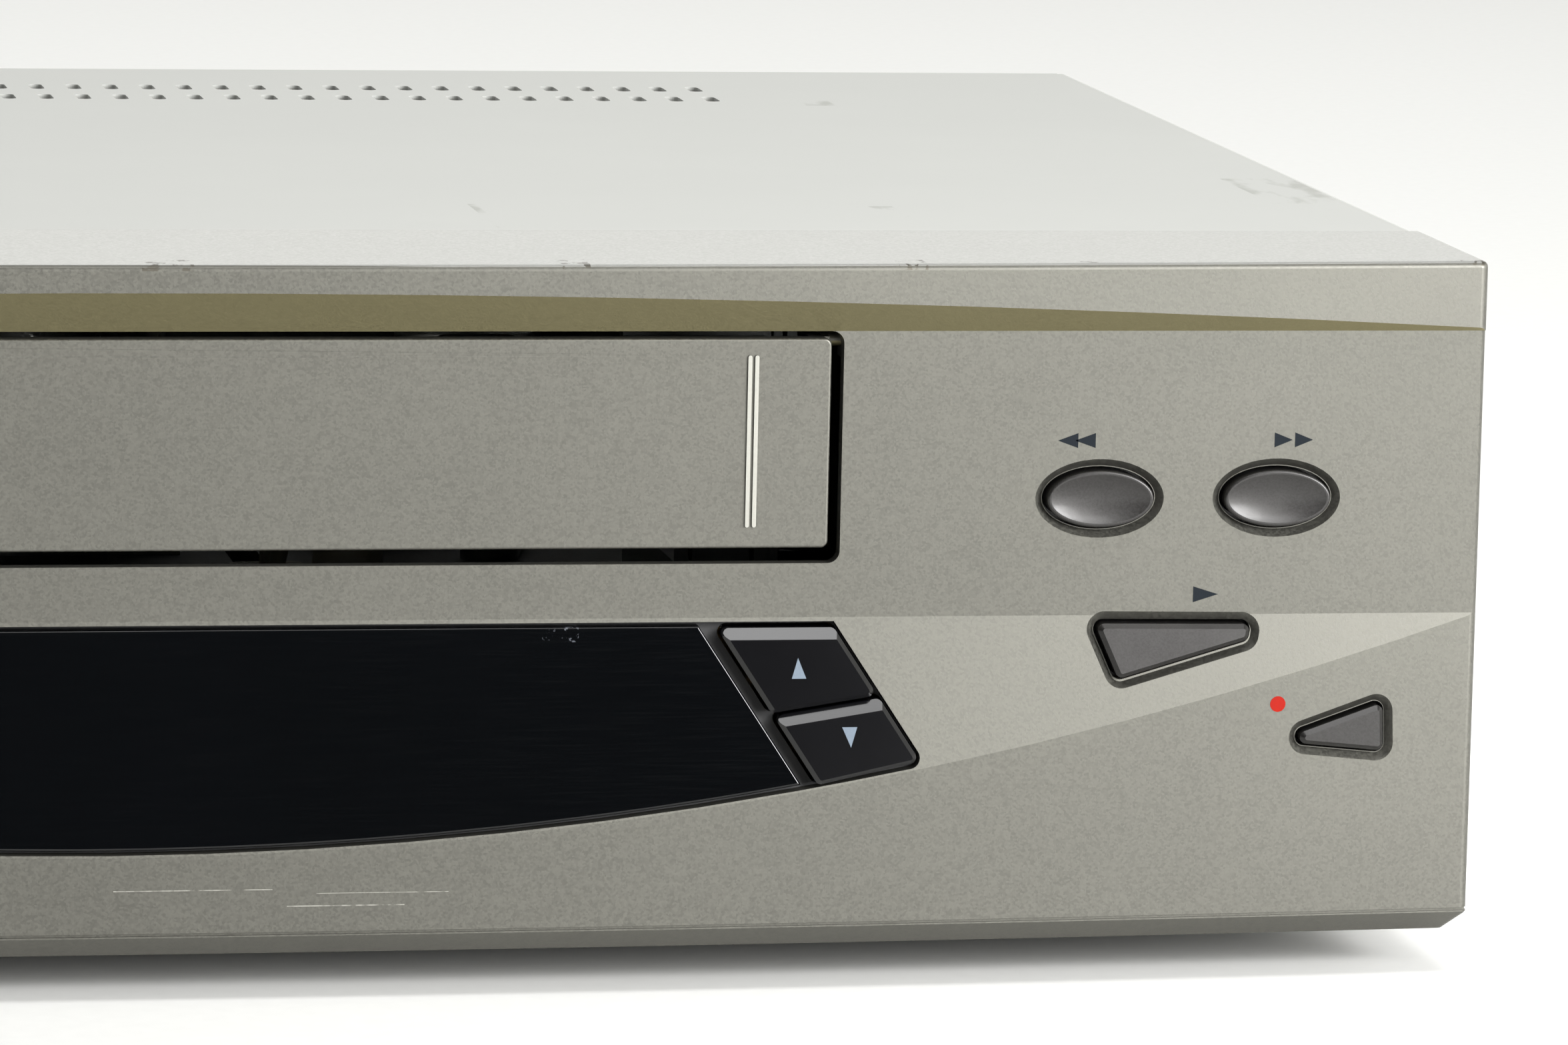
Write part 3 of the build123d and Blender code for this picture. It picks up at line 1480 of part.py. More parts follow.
def drive_belt():
    """The flat belt from the capstan's pulley to the clutch."""
    small = pulley_radius + soft_gap
    large = clutch_radius - belt_gauge
    span_x = capstan_x
    span_y = capstan_y - clutch_y
    length = hypot(span_x, span_y)
    heading = degrees(atan2(span_y, span_x))

    def loop(grow):
        """The outline of two discs and their common outer tangents, clutch at the origin."""
        first = large + grow
        second = small + grow
        lean = asin((first - second) / length)
        corners = []
        for sign in (1, -1):
            across = Vector(sin(lean), sign * cos(lean))
            corners.append((across * first, Vector(length, 0) + across * second))
        quad = polygon([corners[0][0], corners[0][1], corners[1][1], corners[1][0]])
        return quad + Circle(first) + Pos(length, 0) * Circle(second)

    ring = loop(belt_gauge) - loop(0)
    return prism_z(Pos(0, clutch_y) * Rot(0, 0, heading) * ring, belt_low_z, belt_high_z)


def pinch_arm():
    low = deck_top_z + 1.0
    arm_z = (low, low + 2.0)
    middle_x = (pinch_pivot_x + pinch_x) / 2
    middle_y = (pinch_pivot_y + pinch_y) / 2
    turn = degrees(atan2(pinch_y - pinch_pivot_y, pinch_x - pinch_pivot_x))
    outline = Pos(middle_x, middle_y) * Rot(0, 0, turn) * SlotOverall(pinch_arm_length + 9, 9)
    arm = prism_z(outline, *arm_z)
    arm += post(pinch_pivot_x, pinch_pivot_y, low, low + 6.5, 4.2)
    arm -= post(pinch_pivot_x, pinch_pivot_y, low - 1, low + 8, axle_radius + running_gap)
    arm += post(pinch_x, pinch_y, low + 1, low + 25, 1.5)
    return arm


def pinch_roller():
    low = deck_top_z + 7.0
    roller = post(pinch_x, pinch_y, low, low + 15, pinch_radius)
    roller = fillet(roller.edges().filter_by(GeomType.CIRCLE), 0.5)
    return roller - post(pinch_x, pinch_y, low - 1, low + 17, 1.5 + running_gap)


def tape_guide(side):
    """A carriage with an upright guide roller and a slanted post."""
    x = side * guide_x
    low = deck_top_z + soft_gap
    base = block(x - 5.8, x + 5.8, guide_y - 8, guide_y + 6, low, low + 3)
    base = fillet(base.edges().filter_by(Axis.Z), 2.5)
    carriage = base + post(x, guide_y, deck_low_z - 0.8, low + 1, 2.2)
    carriage += post(x, guide_y, deck_low_z - guide_washer_low, deck_low_z - 0.5, 4.5)
    carriage += post(x, guide_y, low + 2, low + 33, 1.6)
    carriage += post(x, guide_y, low + 12, low + 28, 3.0)
    carriage += post(x, guide_y, low + 28, low + 30, 3.8)
    slant = Pos(x, guide_y - 5.2, low + 2) * Rot(0, side * 12, 0)
    carriage += slant * Pos(0, 0, 11) * Cylinder(1.3, 24)
    return carriage


def tension_arm():
    low = deck_top_z + 1.0
    tip_x = -70.0
    tip_y = tension_pivot_y - tension_arm_reach
    length = hypot(tip_x - tension_pivot_x, tip_y - tension_pivot_y)
    turn = degrees(atan2(tip_y - tension_pivot_y, tip_x - tension_pivot_x))
    outline = Pos((tip_x + tension_pivot_x) / 2, (tip_y + tension_pivot_y) / 2) * Rot(
        0, 0, turn) * SlotOverall(length + 8, 8)
    arm = prism_z(outline, low, low + 1.6)
    arm += post(tension_pivot_x, tension_pivot_y, low, low + 3.6, 4.0)
    arm -= post(tension_pivot_x, tension_pivot_y, low - 1, low + 5, axle_radius + running_gap)
    return arm + post(tip_x, tip_y, low + 0.5, low + 28, 1.5)


def tape_head(x, before_drum, turn):
    """A fixed head on its own small plate and pillar."""
    place = Pos(x, drum_y - before_drum, deck_top_z) * Rot(0, 0, turn)
    head = block(-6, 6, -6, 4, 9, 26)
    head = fillet(head.edges().filter_by(Axis.Z).sort_by(Axis.Y)[:2], 3.5)
    head += block(-7, 7, -6, 7, 7.5, 9.2)
    head += post(0, 2, 0, 8, 3.0)
    head += block(-8, 8, -4, 8, 0, 1.6)
    return place * head


def loading_motor():
    low = deck_top_z
    can = post(motor_x, motor_y, low + 1.5, low + 30, 12.0)
    can = fillet(can.faces().sort_by(Axis.Z)[-1].edges(), 1.5)
    flats = block(motor_x - 14, motor_x + 14, motor_y - 9.5, motor_y + 9.5, low, low + 40)
    can &= flats
    plate = block(motor_x - 15, motor_x + 15, motor_y - 10.5, motor_y + 10.5, low, low + 1.6)
    return can + plate + post(motor_x, motor_y, low + 29, low + 38, 1.0) + post(
        motor_x, motor_y, low + 31, low + 37, 3.0)


def cam_gear():
    low = deck_top_z + 0.6
    outline = gear_outline(48, cam_radius, 0.9, share=0.5)
    gear = prism_z(Pos(cam_x, cam_y) * outline, low, low + 4)
    ring = post(cam_x, cam_y, low + 2.4, low + 5, 15.0) - post(cam_x, cam_y, low, low + 6, 11.5)
    gear -= ring
    gear += post(cam_x, cam_y, low, low + 7, 5.0)
    return gear - post(cam_x, cam_y, low - 1, low + 9, axle_radius + running_gap)


save("drum_base", drum_base())
save("upper_drum", upper_drum())
save("supply_reel", reel(-1))
save("takeup_reel", reel(1))
save("clutch_pulley", clutch_pulley())
save("capstan", capstan())
save("idler_arm", idler_arm())
save("idler_wheel", idler_wheel())
save("drive_belt", drive_belt())
save("pinch_arm", pinch_arm())
save("pinch_roller", pinch_roller())
save("supply_guide", tape_guide(-1))
save("takeup_guide", tape_guide(1))
save("tension_arm", tension_arm())
save("erase_head", tape_head(-64, 22, -25))
save("audio_head", tape_head(62, 8, 25))
save("loading_motor", loading_motor())
save("cam_gear", cam_gear())
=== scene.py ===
import json
import math

import bmesh
import bpy
from mathutils import Matrix, Vector


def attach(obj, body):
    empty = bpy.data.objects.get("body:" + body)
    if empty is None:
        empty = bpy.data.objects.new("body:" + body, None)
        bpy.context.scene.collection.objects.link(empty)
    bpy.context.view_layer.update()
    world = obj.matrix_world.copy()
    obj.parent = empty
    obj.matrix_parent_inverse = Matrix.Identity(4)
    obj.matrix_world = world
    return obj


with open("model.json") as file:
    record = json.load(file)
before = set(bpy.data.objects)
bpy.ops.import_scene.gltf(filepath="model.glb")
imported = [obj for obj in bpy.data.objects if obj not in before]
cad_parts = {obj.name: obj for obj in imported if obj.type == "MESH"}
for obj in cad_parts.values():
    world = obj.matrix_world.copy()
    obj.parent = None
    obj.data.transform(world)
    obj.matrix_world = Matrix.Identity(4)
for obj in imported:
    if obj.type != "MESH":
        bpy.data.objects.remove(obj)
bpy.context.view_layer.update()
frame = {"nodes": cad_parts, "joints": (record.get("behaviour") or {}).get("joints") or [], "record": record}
mm = 0.001
noiseSpan = (0.3, 0.7)                  # most values of a noise pattern lie between these two
waveCycles = 20 / (2 * math.pi)         # waves per unit that a wave pattern has at a scale of 1
print("frame loaded:", len(frame["nodes"]), "nodes")


# Helpers

def sRgb(code):
    # hex code to linear colour
    parts = [int(code[i:i + 2], 16) / 255 for i in (1, 3, 5)]
    linear = [p / 12.92 if p <= 0.04045 else ((p + 0.055) / 1.055) ** 2.4 for p in parts]
    return (*linear, 1.0)


def addNode(tree, kind, settings=None, inputs=None):
    node = tree.nodes.new(kind)
    for key, value in (settings or {}).items():
        setattr(node, key, value)
    for key, value in (inputs or {}).items():
        if isinstance(value, bpy.types.NodeSocket):
            tree.links.new(value, node.inputs[key])
        else:
            node.inputs[key].default_value = value
    return node


def startMaterial(name, uniform):
    # a material with its Principled shader; uniform values go straight onto its sockets
    material = bpy.data.materials.new(name)
    material.use_nodes = True
    tree = material.node_tree
    tree.nodes.clear()
    shader = addNode(tree, "ShaderNodeBsdfPrincipled", inputs=uniform)
    addNode(tree, "ShaderNodeOutputMaterial", inputs={"Surface": shader.outputs[0]})
    place = addNode(tree, "ShaderNodeTexCoord").outputs["Object"]
    return material, tree, shader, place


def patternValue(tree, place, pattern, grain, stretch=(1, 1, 1), detail=2.0):
    # a grey pattern whose cells or clouds are as many millimetres across as grain says
    scale = 1 / (grain * mm)
    stretched = addNode(tree, "ShaderNodeMapping", {"vector_type": "POINT"},
                        {"Vector": place, "Scale": stretch}).outputs[0]
    if pattern == "cells":
        cells = addNode(tree, "ShaderNodeTexVoronoi", {"feature": "F1"},
                        {"Vector": stretched, "Scale": scale})
        parts = addNode(tree, "ShaderNodeSeparateColor", inputs={0: cells.outputs["Color"]})
        return parts.outputs[0]
    return addNode(tree, "ShaderNodeTexNoise", {"noise_dimensions": "3D"},
                   {"Vector": stretched, "Scale": scale, "Detail": detail}).outputs[0]


def layered(tree, fine, fineShare, cloud, cloudShares):
    # a fine pattern times its share, plus a cloudy one that adds from the low to the high share
    lifted = addNode(tree, "ShaderNodeMapRange", {"clamp": True}, {
        "Value": cloud, "From Min": noiseSpan[0], "From Max": noiseSpan[1],
        "To Min": cloudShares[0], "To Max": cloudShares[1]}).outputs[0]
    return addNode(tree, "ShaderNodeMath", {"operation": "MULTIPLY_ADD"},
                   {0: fine, 1: fineShare, 2: lifted}).outputs[0]


def boxMask(tree, axes, ranges):
    # 1 inside a box given in millimetres, 0 outside; axes are the separated coordinates
    mask = None
    for axis, (low, high) in zip(axes, ranges):
        above = addNode(tree, "ShaderNodeMath", {"operation": "GREATER_THAN"},
                        {0: axis, 1: low * mm}).outputs[0]
        below = addNode(tree, "ShaderNodeMath", {"operation": "LESS_THAN"},
                        {0: axis, 1: high * mm}).outputs[0]
        part = addNode(tree, "ShaderNodeMath", {"operation": "MULTIPLY"},
                       {0: above, 1: below}).outputs[0]
        if mask is not None:
            part = addNode(tree, "ShaderNodeMath", {"operation": "MULTIPLY"},
                           {0: mask, 1: part}).outputs[0]
        mask = part
    return mask


def wornPlaces(tree, axes, boxes, pattern, patternSpan, most):
    # several boxes' masks added up and broken up by a pattern, which is read between two values
    masks = [boxMask(tree, axes, box) for box in boxes]
    total = masks[0]
    for mask in masks[1:]:
        total = addNode(tree, "ShaderNodeMath", {"operation": "ADD", "use_clamp": True},
                        {0: total, 1: mask}).outputs[0]
    broken = addNode(tree, "ShaderNodeMapRange", {"clamp": True}, {
        "Value": pattern, "From Min": patternSpan[0], "From Max": patternSpan[1],
        "To Min": 0.0, "To Max": most}).outputs[0]
    return addNode(tree, "ShaderNodeMath", {"operation": "MULTIPLY"},
                   {0: total, 1: broken}).outputs[0]


def dressShader(tree, shader, share, values, gloss, glossSpan, overlays=(), relief=None):
    # share mixes the dark and the light colour; each overlay lays its colour over them where its
    # mask is 1; gloss, read between two values, runs the roughness from its low to its high value;
    # relief is a pattern, the strength of its bumps and their depth in millimetres
    colour = sRgb(values["dark"])
    for mask, code in ((share, values["light"]), *overlays):
        colour = addNode(tree, "ShaderNodeMix", {"data_type": "RGBA"},
                         {0: mask, 6: colour, 7: sRgb(code)}).outputs[2]
    rough = addNode(tree, "ShaderNodeMapRange", {"clamp": True}, {
        "Value": gloss, "From Min": glossSpan[0], "From Max": glossSpan[1],
        "To Min": values["roughness"][0], "To Max": values["roughness"][1]}).outputs[0]
    tree.links.new(colour, shader.inputs["Base Color"])
    tree.links.new(rough, shader.inputs["Roughness"])
    if relief:
        pattern, strength, depth = relief
        bump = addNode(tree, "ShaderNodeBump", inputs={
            "Strength": strength, "Distance": depth * mm, "Height": pattern})
        tree.links.new(bump.outputs[0], shader.inputs["Normal"])


# Finishes of the pieces that are only one moulding, sheet or turned part. grain and grainDepth are
# in millimetres: the size of the surface's own texture and how deep it is.
finishes = {
    "mouldedBlackAbs": {      # fine spark texture from the mould, dull sheen
        "light": "#1d1d1f", "dark": "#131315", "metallic": 0.0, "ior": 1.54,
        "roughness": (0.45, 0.6), "grain": 0.5, "grainDepth": 0.02},
    "polishedBlackAbs": {     # smooth black keys with sharp reflections
        "light": "#0d0d0f", "dark": "#08080a", "metallic": 0.0, "ior": 1.54,
        "roughness": (0.1, 0.16), "grain": 3.0, "grainDepth": 0.002},
    "drawnSpringSteel": {     # smooth wire
        "light": "#a8a8a6", "dark": "#7f7f7c", "metallic": 1.0,
        "roughness": (0.2, 0.32), "grain": 0.3, "grainDepth": 0.004},
    "zincPlatedSteel": {      # bright passivated screws and shafts, slightly cloudy
        "light": "#c3c3bd", "dark": "#9c9b93", "metallic": 1.0,
        "roughness": (0.22, 0.38), "grain": 1.2, "grainDepth": 0.004},
    "mouldedBlackRubber": {   # dull, faintly dusty rubber
        "light": "#2b2b2a", "dark": "#1a1a1a", "metallic": 0.0, "ior": 1.52,
        "roughness": (0.7, 0.88), "grain": 0.8, "grainDepth": 0.03},
    "groundBlackRubber": {    # tyres and belt, ground smooth and matt
        "light": "#1f1f1f", "dark": "#141414", "metallic": 0.0, "ior": 1.52,
        "roughness": (0.6, 0.75), "grain": 0.3, "grainDepth": 0.01},
    "sleevedCapacitor": {     # shrunk dark blue sleeve, glossy
        "light": "#1b2540", "dark": "#121a30", "metallic": 0.0, "ior": 1.5,
        "roughness": (0.2, 0.32), "grain": 2.0, "grainDepth": 0.01},
    "varnishedLaminations": {  # brownish varnish over steel core
        "light": "#6b5a45", "dark": "#41372c", "metallic": 0.35, "ior": 1.5,
        "roughness": (0.35, 0.55), "grain": 0.7, "grainDepth": 0.03},
    "tinnedSheet": {          # bright tinplate with faint clouds
        "light": "#cfcec8", "dark": "#aaa9a2", "metallic": 1.0,
        "roughness": (0.2, 0.34), "grain": 9.0, "grainDepth": 0.01},
    "brightNickel": {         # warm bright plating
        "light": "#d5cfc2", "dark": "#b7b0a2", "metallic": 1.0,
        "roughness": (0.12, 0.22), "grain": 1.5, "grainDepth": 0.003},
    "castAluminium": {        # machined casting, grey and even
        "light": "#b3b3b1", "dark": "#8f8f8d", "metallic": 1.0,
        "roughness": (0.35, 0.5), "grain": 0.6, "grainDepth": 0.02},
    "mouldedAcetal": {        # off-white, waxy gears and guides
        "light": "#e6e3d6", "dark": "#d6d2c3", "metallic": 0.0, "ior": 1.48,
        "roughness": (0.32, 0.44), "grain": 2.5, "grainDepth": 0.006},
}
plainPattern = {
    "cloudGrains": 14,        # a cloud is this many grains across
    "grainShare": 0.55, "cloudShares": (0.0, 0.45), "bumpStrength": 0.35,
}


def plainFinish(name):
    values = finishes[name]
    uniform = {"Metallic": values["metallic"]}
    if "ior" in values:       # the metals keep the shader's own
        uniform["IOR"] = values["ior"]
    material, tree, shader, place = startMaterial(name, uniform)
    fine = patternValue(tree, place, "noise", values["grain"])
    cloud = patternValue(tree, place, "noise", values["grain"] * plainPattern["cloudGrains"])
    share = layered(tree, fine, plainPattern["grainShare"], cloud, plainPattern["cloudShares"])
    dressShader(tree, shader, share, values, cloud, noiseSpan,
                relief=(fine, plainPattern["bumpStrength"], values["grainDepth"]))
    return material


# The painted mouldings: silver lacquer with aluminium flakes on ABS. Real flakes are about 0.05 mm;
# they are drawn 0.32 mm across so that the sparkle shows from a step away.
silverPaint = {
    "dark": "#575651", "light": "#6e6d66", "metallic": 0.85, "ior": 1.5, "roughness": (0.41, 0.55),
    "coat": 0.15, "coatRoughness": 0.3, "flake": 0.32, "flakeShare": 0.4, "flakeDepth": 0.02,
    "bumpStrength": 0.25, "cloud": 22.0, "cloudShares": (0.26, 0.34),
    # painted highlights: the top strip behind the upper front edge, and the flap's ribs left and right, are
    # painted paler where they catch the light
    "strip": "#9b9b97", "stripBox": ((-190.5, 190.5), (-139.4, -90.0), (99.75, 101.0)),
    "ribs": "#a3a29b", "paintedHighlightRibBox": ((86.6, 88.4), (-136.0, -133.8), (60.0, 90.0)),
    # painted reflection and shade: the brow's underside is tinted a darker olive for the warm floor it
    # mirrors in its shade; faces over these heights that look down as far as this
    "paintedReflection": "#87805f", "paintedReflectionShare": 0.9, "paintedReflectionHeights": (84.0, 85.0),
    "paintedReflectionFacing": (-0.35, -0.15),
    # chips along the upper front edge: the x range of each, and the y and z range of them all
    "worn": "#56534b", "chipGrain": 1.6, "chipSpan": (0.54, 0.58),
    "chips": [(3.5, 10.5), (60.0, 64.0), (106.5, 110.5), (132.0, 134.5), (186.0, 190.5)],
    "chipEdge": ((-145.0, -133.2), (99.2, 101.0)),
    # hairline scratches on the chin: the x and z range of each, and the y range of them all
    "scratch": "#a8a79f", "scratchShare": 0.8, "scratchSpan": (0.35, 0.55),
    "scratches": [((24.0, 40.0), (12.85, 13.0)), ((0.5, 22.0), (15.2, 15.32)),
                  ((28.0, 46.0), (14.6, 14.68))],
    "scratchY": (-145.0, -137.0),
}


def silverPaintedAbs(name, values):
    material, tree, shader, place = startMaterial(name, {
        "Metallic": values["metallic"], "IOR": values["ior"],
        "Coat Weight": values["coat"], "Coat Roughness": values["coatRoughness"]})
    flake = patternValue(tree, place, "cells", values["flake"])
    cloud = patternValue(tree, place, "noise", values["cloud"], detail=3.0)
    share = layered(tree, flake, values["flakeShare"], cloud, values["cloudShares"])
    axes = addNode(tree, "ShaderNodeSeparateXYZ", inputs={0: place}).outputs
    sides = addNode(tree, "ShaderNodeMath", {"operation": "ABSOLUTE"}, {0: axes[0]}).outputs[0]
    # painted highlight: the top strip behind the upper front edge is painted paler
    strip = boxMask(tree, axes, values["stripBox"])
    # painted highlight: the flap's ribs are painted paler where they catch the light
    ribs = boxMask(tree, (sides, axes[1], axes[2]), values["paintedHighlightRibBox"])
    # painted reflection and shade: faces high up under the brow that look down are tinted olive
    facing = addNode(tree, "ShaderNodeTexCoord").outputs["Normal"]
    upward = addNode(tree, "ShaderNodeSeparateXYZ", inputs={0: facing}).outputs[2]
    facesDown = addNode(tree, "ShaderNodeMapRange", {"clamp": True}, {
        "Value": upward, "From Min": values["paintedReflectionFacing"][0],
        "From Max": values["paintedReflectionFacing"][1],
        "To Min": values["paintedReflectionShare"], "To Max": 0.0}).outputs[0]
    highUp = addNode(tree, "ShaderNodeMapRange", {"clamp": True}, {
        "Value": axes[2], "From Min": values["paintedReflectionHeights"][0] * mm,
        "From Max": values["paintedReflectionHeights"][1] * mm, "To Min": 0.0, "To Max": 1.0}).outputs[0]
    under = addNode(tree, "ShaderNodeMath", {"operation": "MULTIPLY"},
                    {0: facesDown, 1: highUp}).outputs[0]
    speckle = patternValue(tree, place, "noise", values["chipGrain"], detail=4.0)
    chipped = wornPlaces(tree, axes, [(across, *values["chipEdge"]) for across in values["chips"]],
                         speckle, values["chipSpan"], 1.0)
    scratched = wornPlaces(tree, axes, [(across, values["scratchY"], height)
                                        for across, height in values["scratches"]],
                           speckle, values["scratchSpan"], values["scratchShare"])
    dressShader(tree, shader, share, values, flake, (0.0, 1.0),
                overlays=((strip, values["strip"]), (under, values["paintedReflection"]),
                          (ribs, values["ribs"]), (chipped, values["worn"]),
                          (scratched, values["scratch"])),
                relief=(flake, values["bumpStrength"], values["flakeDepth"]))
    return material


# The cover: pale silver stoving enamel on steel sheet, with a faint orange peel about 0.9 mm across
# and a few grey rub marks.
coverEnamel = {
    "dark": "#acada9", "light": "#b2b3af", "metallic": 0.0, "ior": 1.5, "roughness": (0.62, 0.68),
    "peel": 0.9, "peelDepth": 0.01, "bumpStrength": 0.2, "cloud": 40.0, "cloudShares": (0.2, 0.9),
    # rub marks on the top: the x and y range of each, and the z range of them all
    "rub": "#8a8a83", "rubShare": 0.6, "rubGrain": 5.0, "rubStretch": (1.0, 0.35, 1.0),
    "rubSpan": (0.5, 0.62),
    "rubs": [((177.0, 188.0), (-62.0, -28.0)), ((116.0, 119.5), (-80.0, -66.0)),
             ((58.0, 59.2), (-95.0, -64.0)), ((134.0, 139.0), (80.0, 88.0))],
    "rubZ": (98.0, 101.0),
}


def stovedEnamelSteel(name, values):
    material, tree, shader, place = startMaterial(name, {
        "Metallic": values["metallic"], "IOR": values["ior"]})
    peel = patternValue(tree, place, "noise", values["peel"])
    cloud = patternValue(tree, place, "noise", values["cloud"], detail=4.0)
    share = addNode(tree, "ShaderNodeMapRange", {"clamp": True}, {
        "Value": cloud, "From Min": noiseSpan[0], "From Max": noiseSpan[1],
        "To Min": values["cloudShares"][0], "To Max": values["cloudShares"][1]}).outputs[0]
    axes = addNode(tree, "ShaderNodeSeparateXYZ", inputs={0: place}).outputs
    speckle = patternValue(tree, place, "noise", values["rubGrain"],
                           stretch=values["rubStretch"], detail=5.0)
    rubbed = wornPlaces(tree, axes, [(*spot, values["rubZ"]) for spot in values["rubs"]],
                        speckle, values["rubSpan"], values["rubShare"])
    dressShader(tree, shader, share, values, cloud, noiseSpan,
                overlays=((rubbed, values["rub"]),),
                relief=(peel, values["bumpStrength"], values["peelDepth"]))
    return material


# Keys: darker grey-mauve metallic lacquer, glossier than the front, flakes drawn 0.2 mm across.
keyLacquer = {
    "dark": "#242221", "light": "#31302f", "metallic": 0.6, "ior": 1.5, "roughness": (0.37, 0.47),
    "coat": 0.35, "coatRoughness": 0.22, "flake": 0.2, "flakeShare": 0.5,
    "cloud": 6.0, "cloudShares": (0.1, 0.5),
}


def greyLacqueredAbs(name, values):
    material, tree, shader, place = startMaterial(name, {
        "Metallic": values["metallic"], "IOR": values["ior"],
        "Coat Weight": values["coat"], "Coat Roughness": values["coatRoughness"]})
    flake = patternValue(tree, place, "cells", values["flake"])
    cloud = patternValue(tree, place, "noise", values["cloud"])
    share = layered(tree, flake, values["flakeShare"], cloud, values["cloudShares"])
    dressShader(tree, shader, share, values, flake, (0.0, 1.0))
    return material


# The lens: smoked acrylic, polished, with hairline wiping marks that only change its gloss.
smokedLens = {
    "dark": "#020304", "light": "#040507", "metallic": 0.0, "ior": 1.49, "roughness": (0.05, 0.13),
    "cloud": 30.0, "hairline": 0.25, "hairStretch": (0.03, 1.0, 1.0), "hairSpan": (0.3, 0.75),
    # a scuffed place at the upper edge, by its x and z range
    "scuff": "#5c5f66", "scuffShare": 0.8, "scuffGrain": 0.9, "scuffSpan": (0.55, 0.62),
    "scuffBox": ((59.0, 64.0), (47.9, 51.0)),
}


def smokedAcrylic(name, values):
    material, tree, shader, place = startMaterial(name, {
        "Metallic": values["metallic"], "IOR": values["ior"]})
    hairs = patternValue(tree, place, "noise", values["hairline"], stretch=values["hairStretch"])
    cloud = patternValue(tree, place, "noise", values["cloud"], detail=3.0)
    axes = addNode(tree, "ShaderNodeSeparateXYZ", inputs={0: place}).outputs
    speckle = patternValue(tree, place, "noise", values["scuffGrain"], detail=4.0)
    scuffed = wornPlaces(tree, (axes[0], axes[2]), [values["scuffBox"]],
                         speckle, values["scuffSpan"], values["scuffShare"])
    dressShader(tree, shader, cloud, values, hairs, values["hairSpan"],
                overlays=((scuffed, values["scuff"]),))
    return material


# Zinc-coated sheet: flat crystals (spangle) about 4.5 mm across, each a slightly different grey,
# under fine lines from rolling.
zincSheet = {
    "dark": "#9b9d9c", "light": "#aeb0ae", "metallic": 1.0, "roughness": (0.38, 0.46),
    "spangle": 4.5, "spangleShare": 0.7, "rolled": 0.5, "rolledStretch": (1.0, 0.2, 1.0),
    "rolledShares": (0.0, 0.3), "rolledDepth": 0.01, "bumpStrength": 0.2,
}


def galvanisedSheet(name, values):
    material, tree, shader, place = startMaterial(name, {"Metallic": values["metallic"]})
    crystal = patternValue(tree, place, "cells", values["spangle"])
    rolled = patternValue(tree, place, "noise", values["rolled"], stretch=values["rolledStretch"])
    share = layered(tree, crystal, values["spangleShare"], rolled, values["rolledShares"])
    dressShader(tree, shader, share, values, crystal, (0.0, 1.0),
                relief=(rolled, values["bumpStrength"], values["rolledDepth"]))
    return material


# Turned drum: lathe rings about 0.5 mm apart, drawn round an upright line through its middle.
latheTurned = {
    "dark": "#b9b9b8", "light": "#dcdcdb", "metallic": 1.0, "roughness": (0.16, 0.3),
    "pitch": 0.4935, "waver": 0.4, "joint": "drum_spin",
}


def turnedAluminium(name, values):
    material, tree, shader, place = startMaterial(name, {"Metallic": values["metallic"]})
    spin = next(joint for joint in frame["joints"] if joint["name"] == values["joint"])
    centred = addNode(tree, "ShaderNodeMapping", inputs={
        "Vector": place, "Location": [-along for along in spin["pos_m"]]}).outputs[0]
    rings = addNode(tree, "ShaderNodeTexWave",
                    {"wave_type": "RINGS", "rings_direction": "Z", "wave_profile": "SAW"},
                    {"Vector": centred, "Scale": 1 / (values["pitch"] * mm * waveCycles),
                     "Distortion": values["waver"]}).outputs[1]
    dressShader(tree, shader, rings, values, rings, (0.0, 1.0))
    return material


# Circuit board: tan phenolic paper, fibres about 0.4 mm wide and 4 mm long.
phenolicBoard = {
    "dark": "#8d6f3f", "light": "#b8965c", "metallic": 0.0, "ior": 1.58, "roughness": (0.4, 0.55),
    "fibre": 0.4, "fibreStretch": (0.1, 1.0, 1.0), "fibreShare": 0.6,
    "cloud": 12.0, "cloudShares": (0.0, 0.4),
}


def phenolicPaper(name, values):
    material, tree, shader, place = startMaterial(name, {
        "Metallic": values["metallic"], "IOR": values["ior"]})
    fibre = patternValue(tree, place, "noise", values["fibre"],
                         stretch=values["fibreStretch"], detail=4.0)
    cloud = patternValue(tree, place, "noise", values["cloud"])
    share = layered(tree, fibre, values["fibreShare"], cloud, values["cloudShares"])
    dressShader(tree, shader, share, values, fibre, noiseSpan)
    return material


# Display tube: dark glass front with a faint green-grey grid of wires about 2.4 mm apart.
displayTube = {
    "dark": "#20302c", "light": "#3a4a45", "metallic": 0.0, "ior": 1.52, "roughness": (0.06, 0.2),
    "coat": 0.6, "coatRoughness": 0.03, "pitch": 2.3687,
}


def gridGlass(name, values):
    material, tree, shader, place = startMaterial(name, {
        "Metallic": values["metallic"], "IOR": values["ior"],
        "Coat Weight": values["coat"], "Coat Roughness": values["coatRoughness"]})
    wires = addNode(tree, "ShaderNodeTexWave", {"wave_type": "BANDS", "bands_direction": "X"},
                    {"Vector": place, "Scale": 1 / (values["pitch"] * mm * waveCycles)}).outputs[1]
    dressShader(tree, shader, wires, values, wires, (0.0, 1.0))
    return material


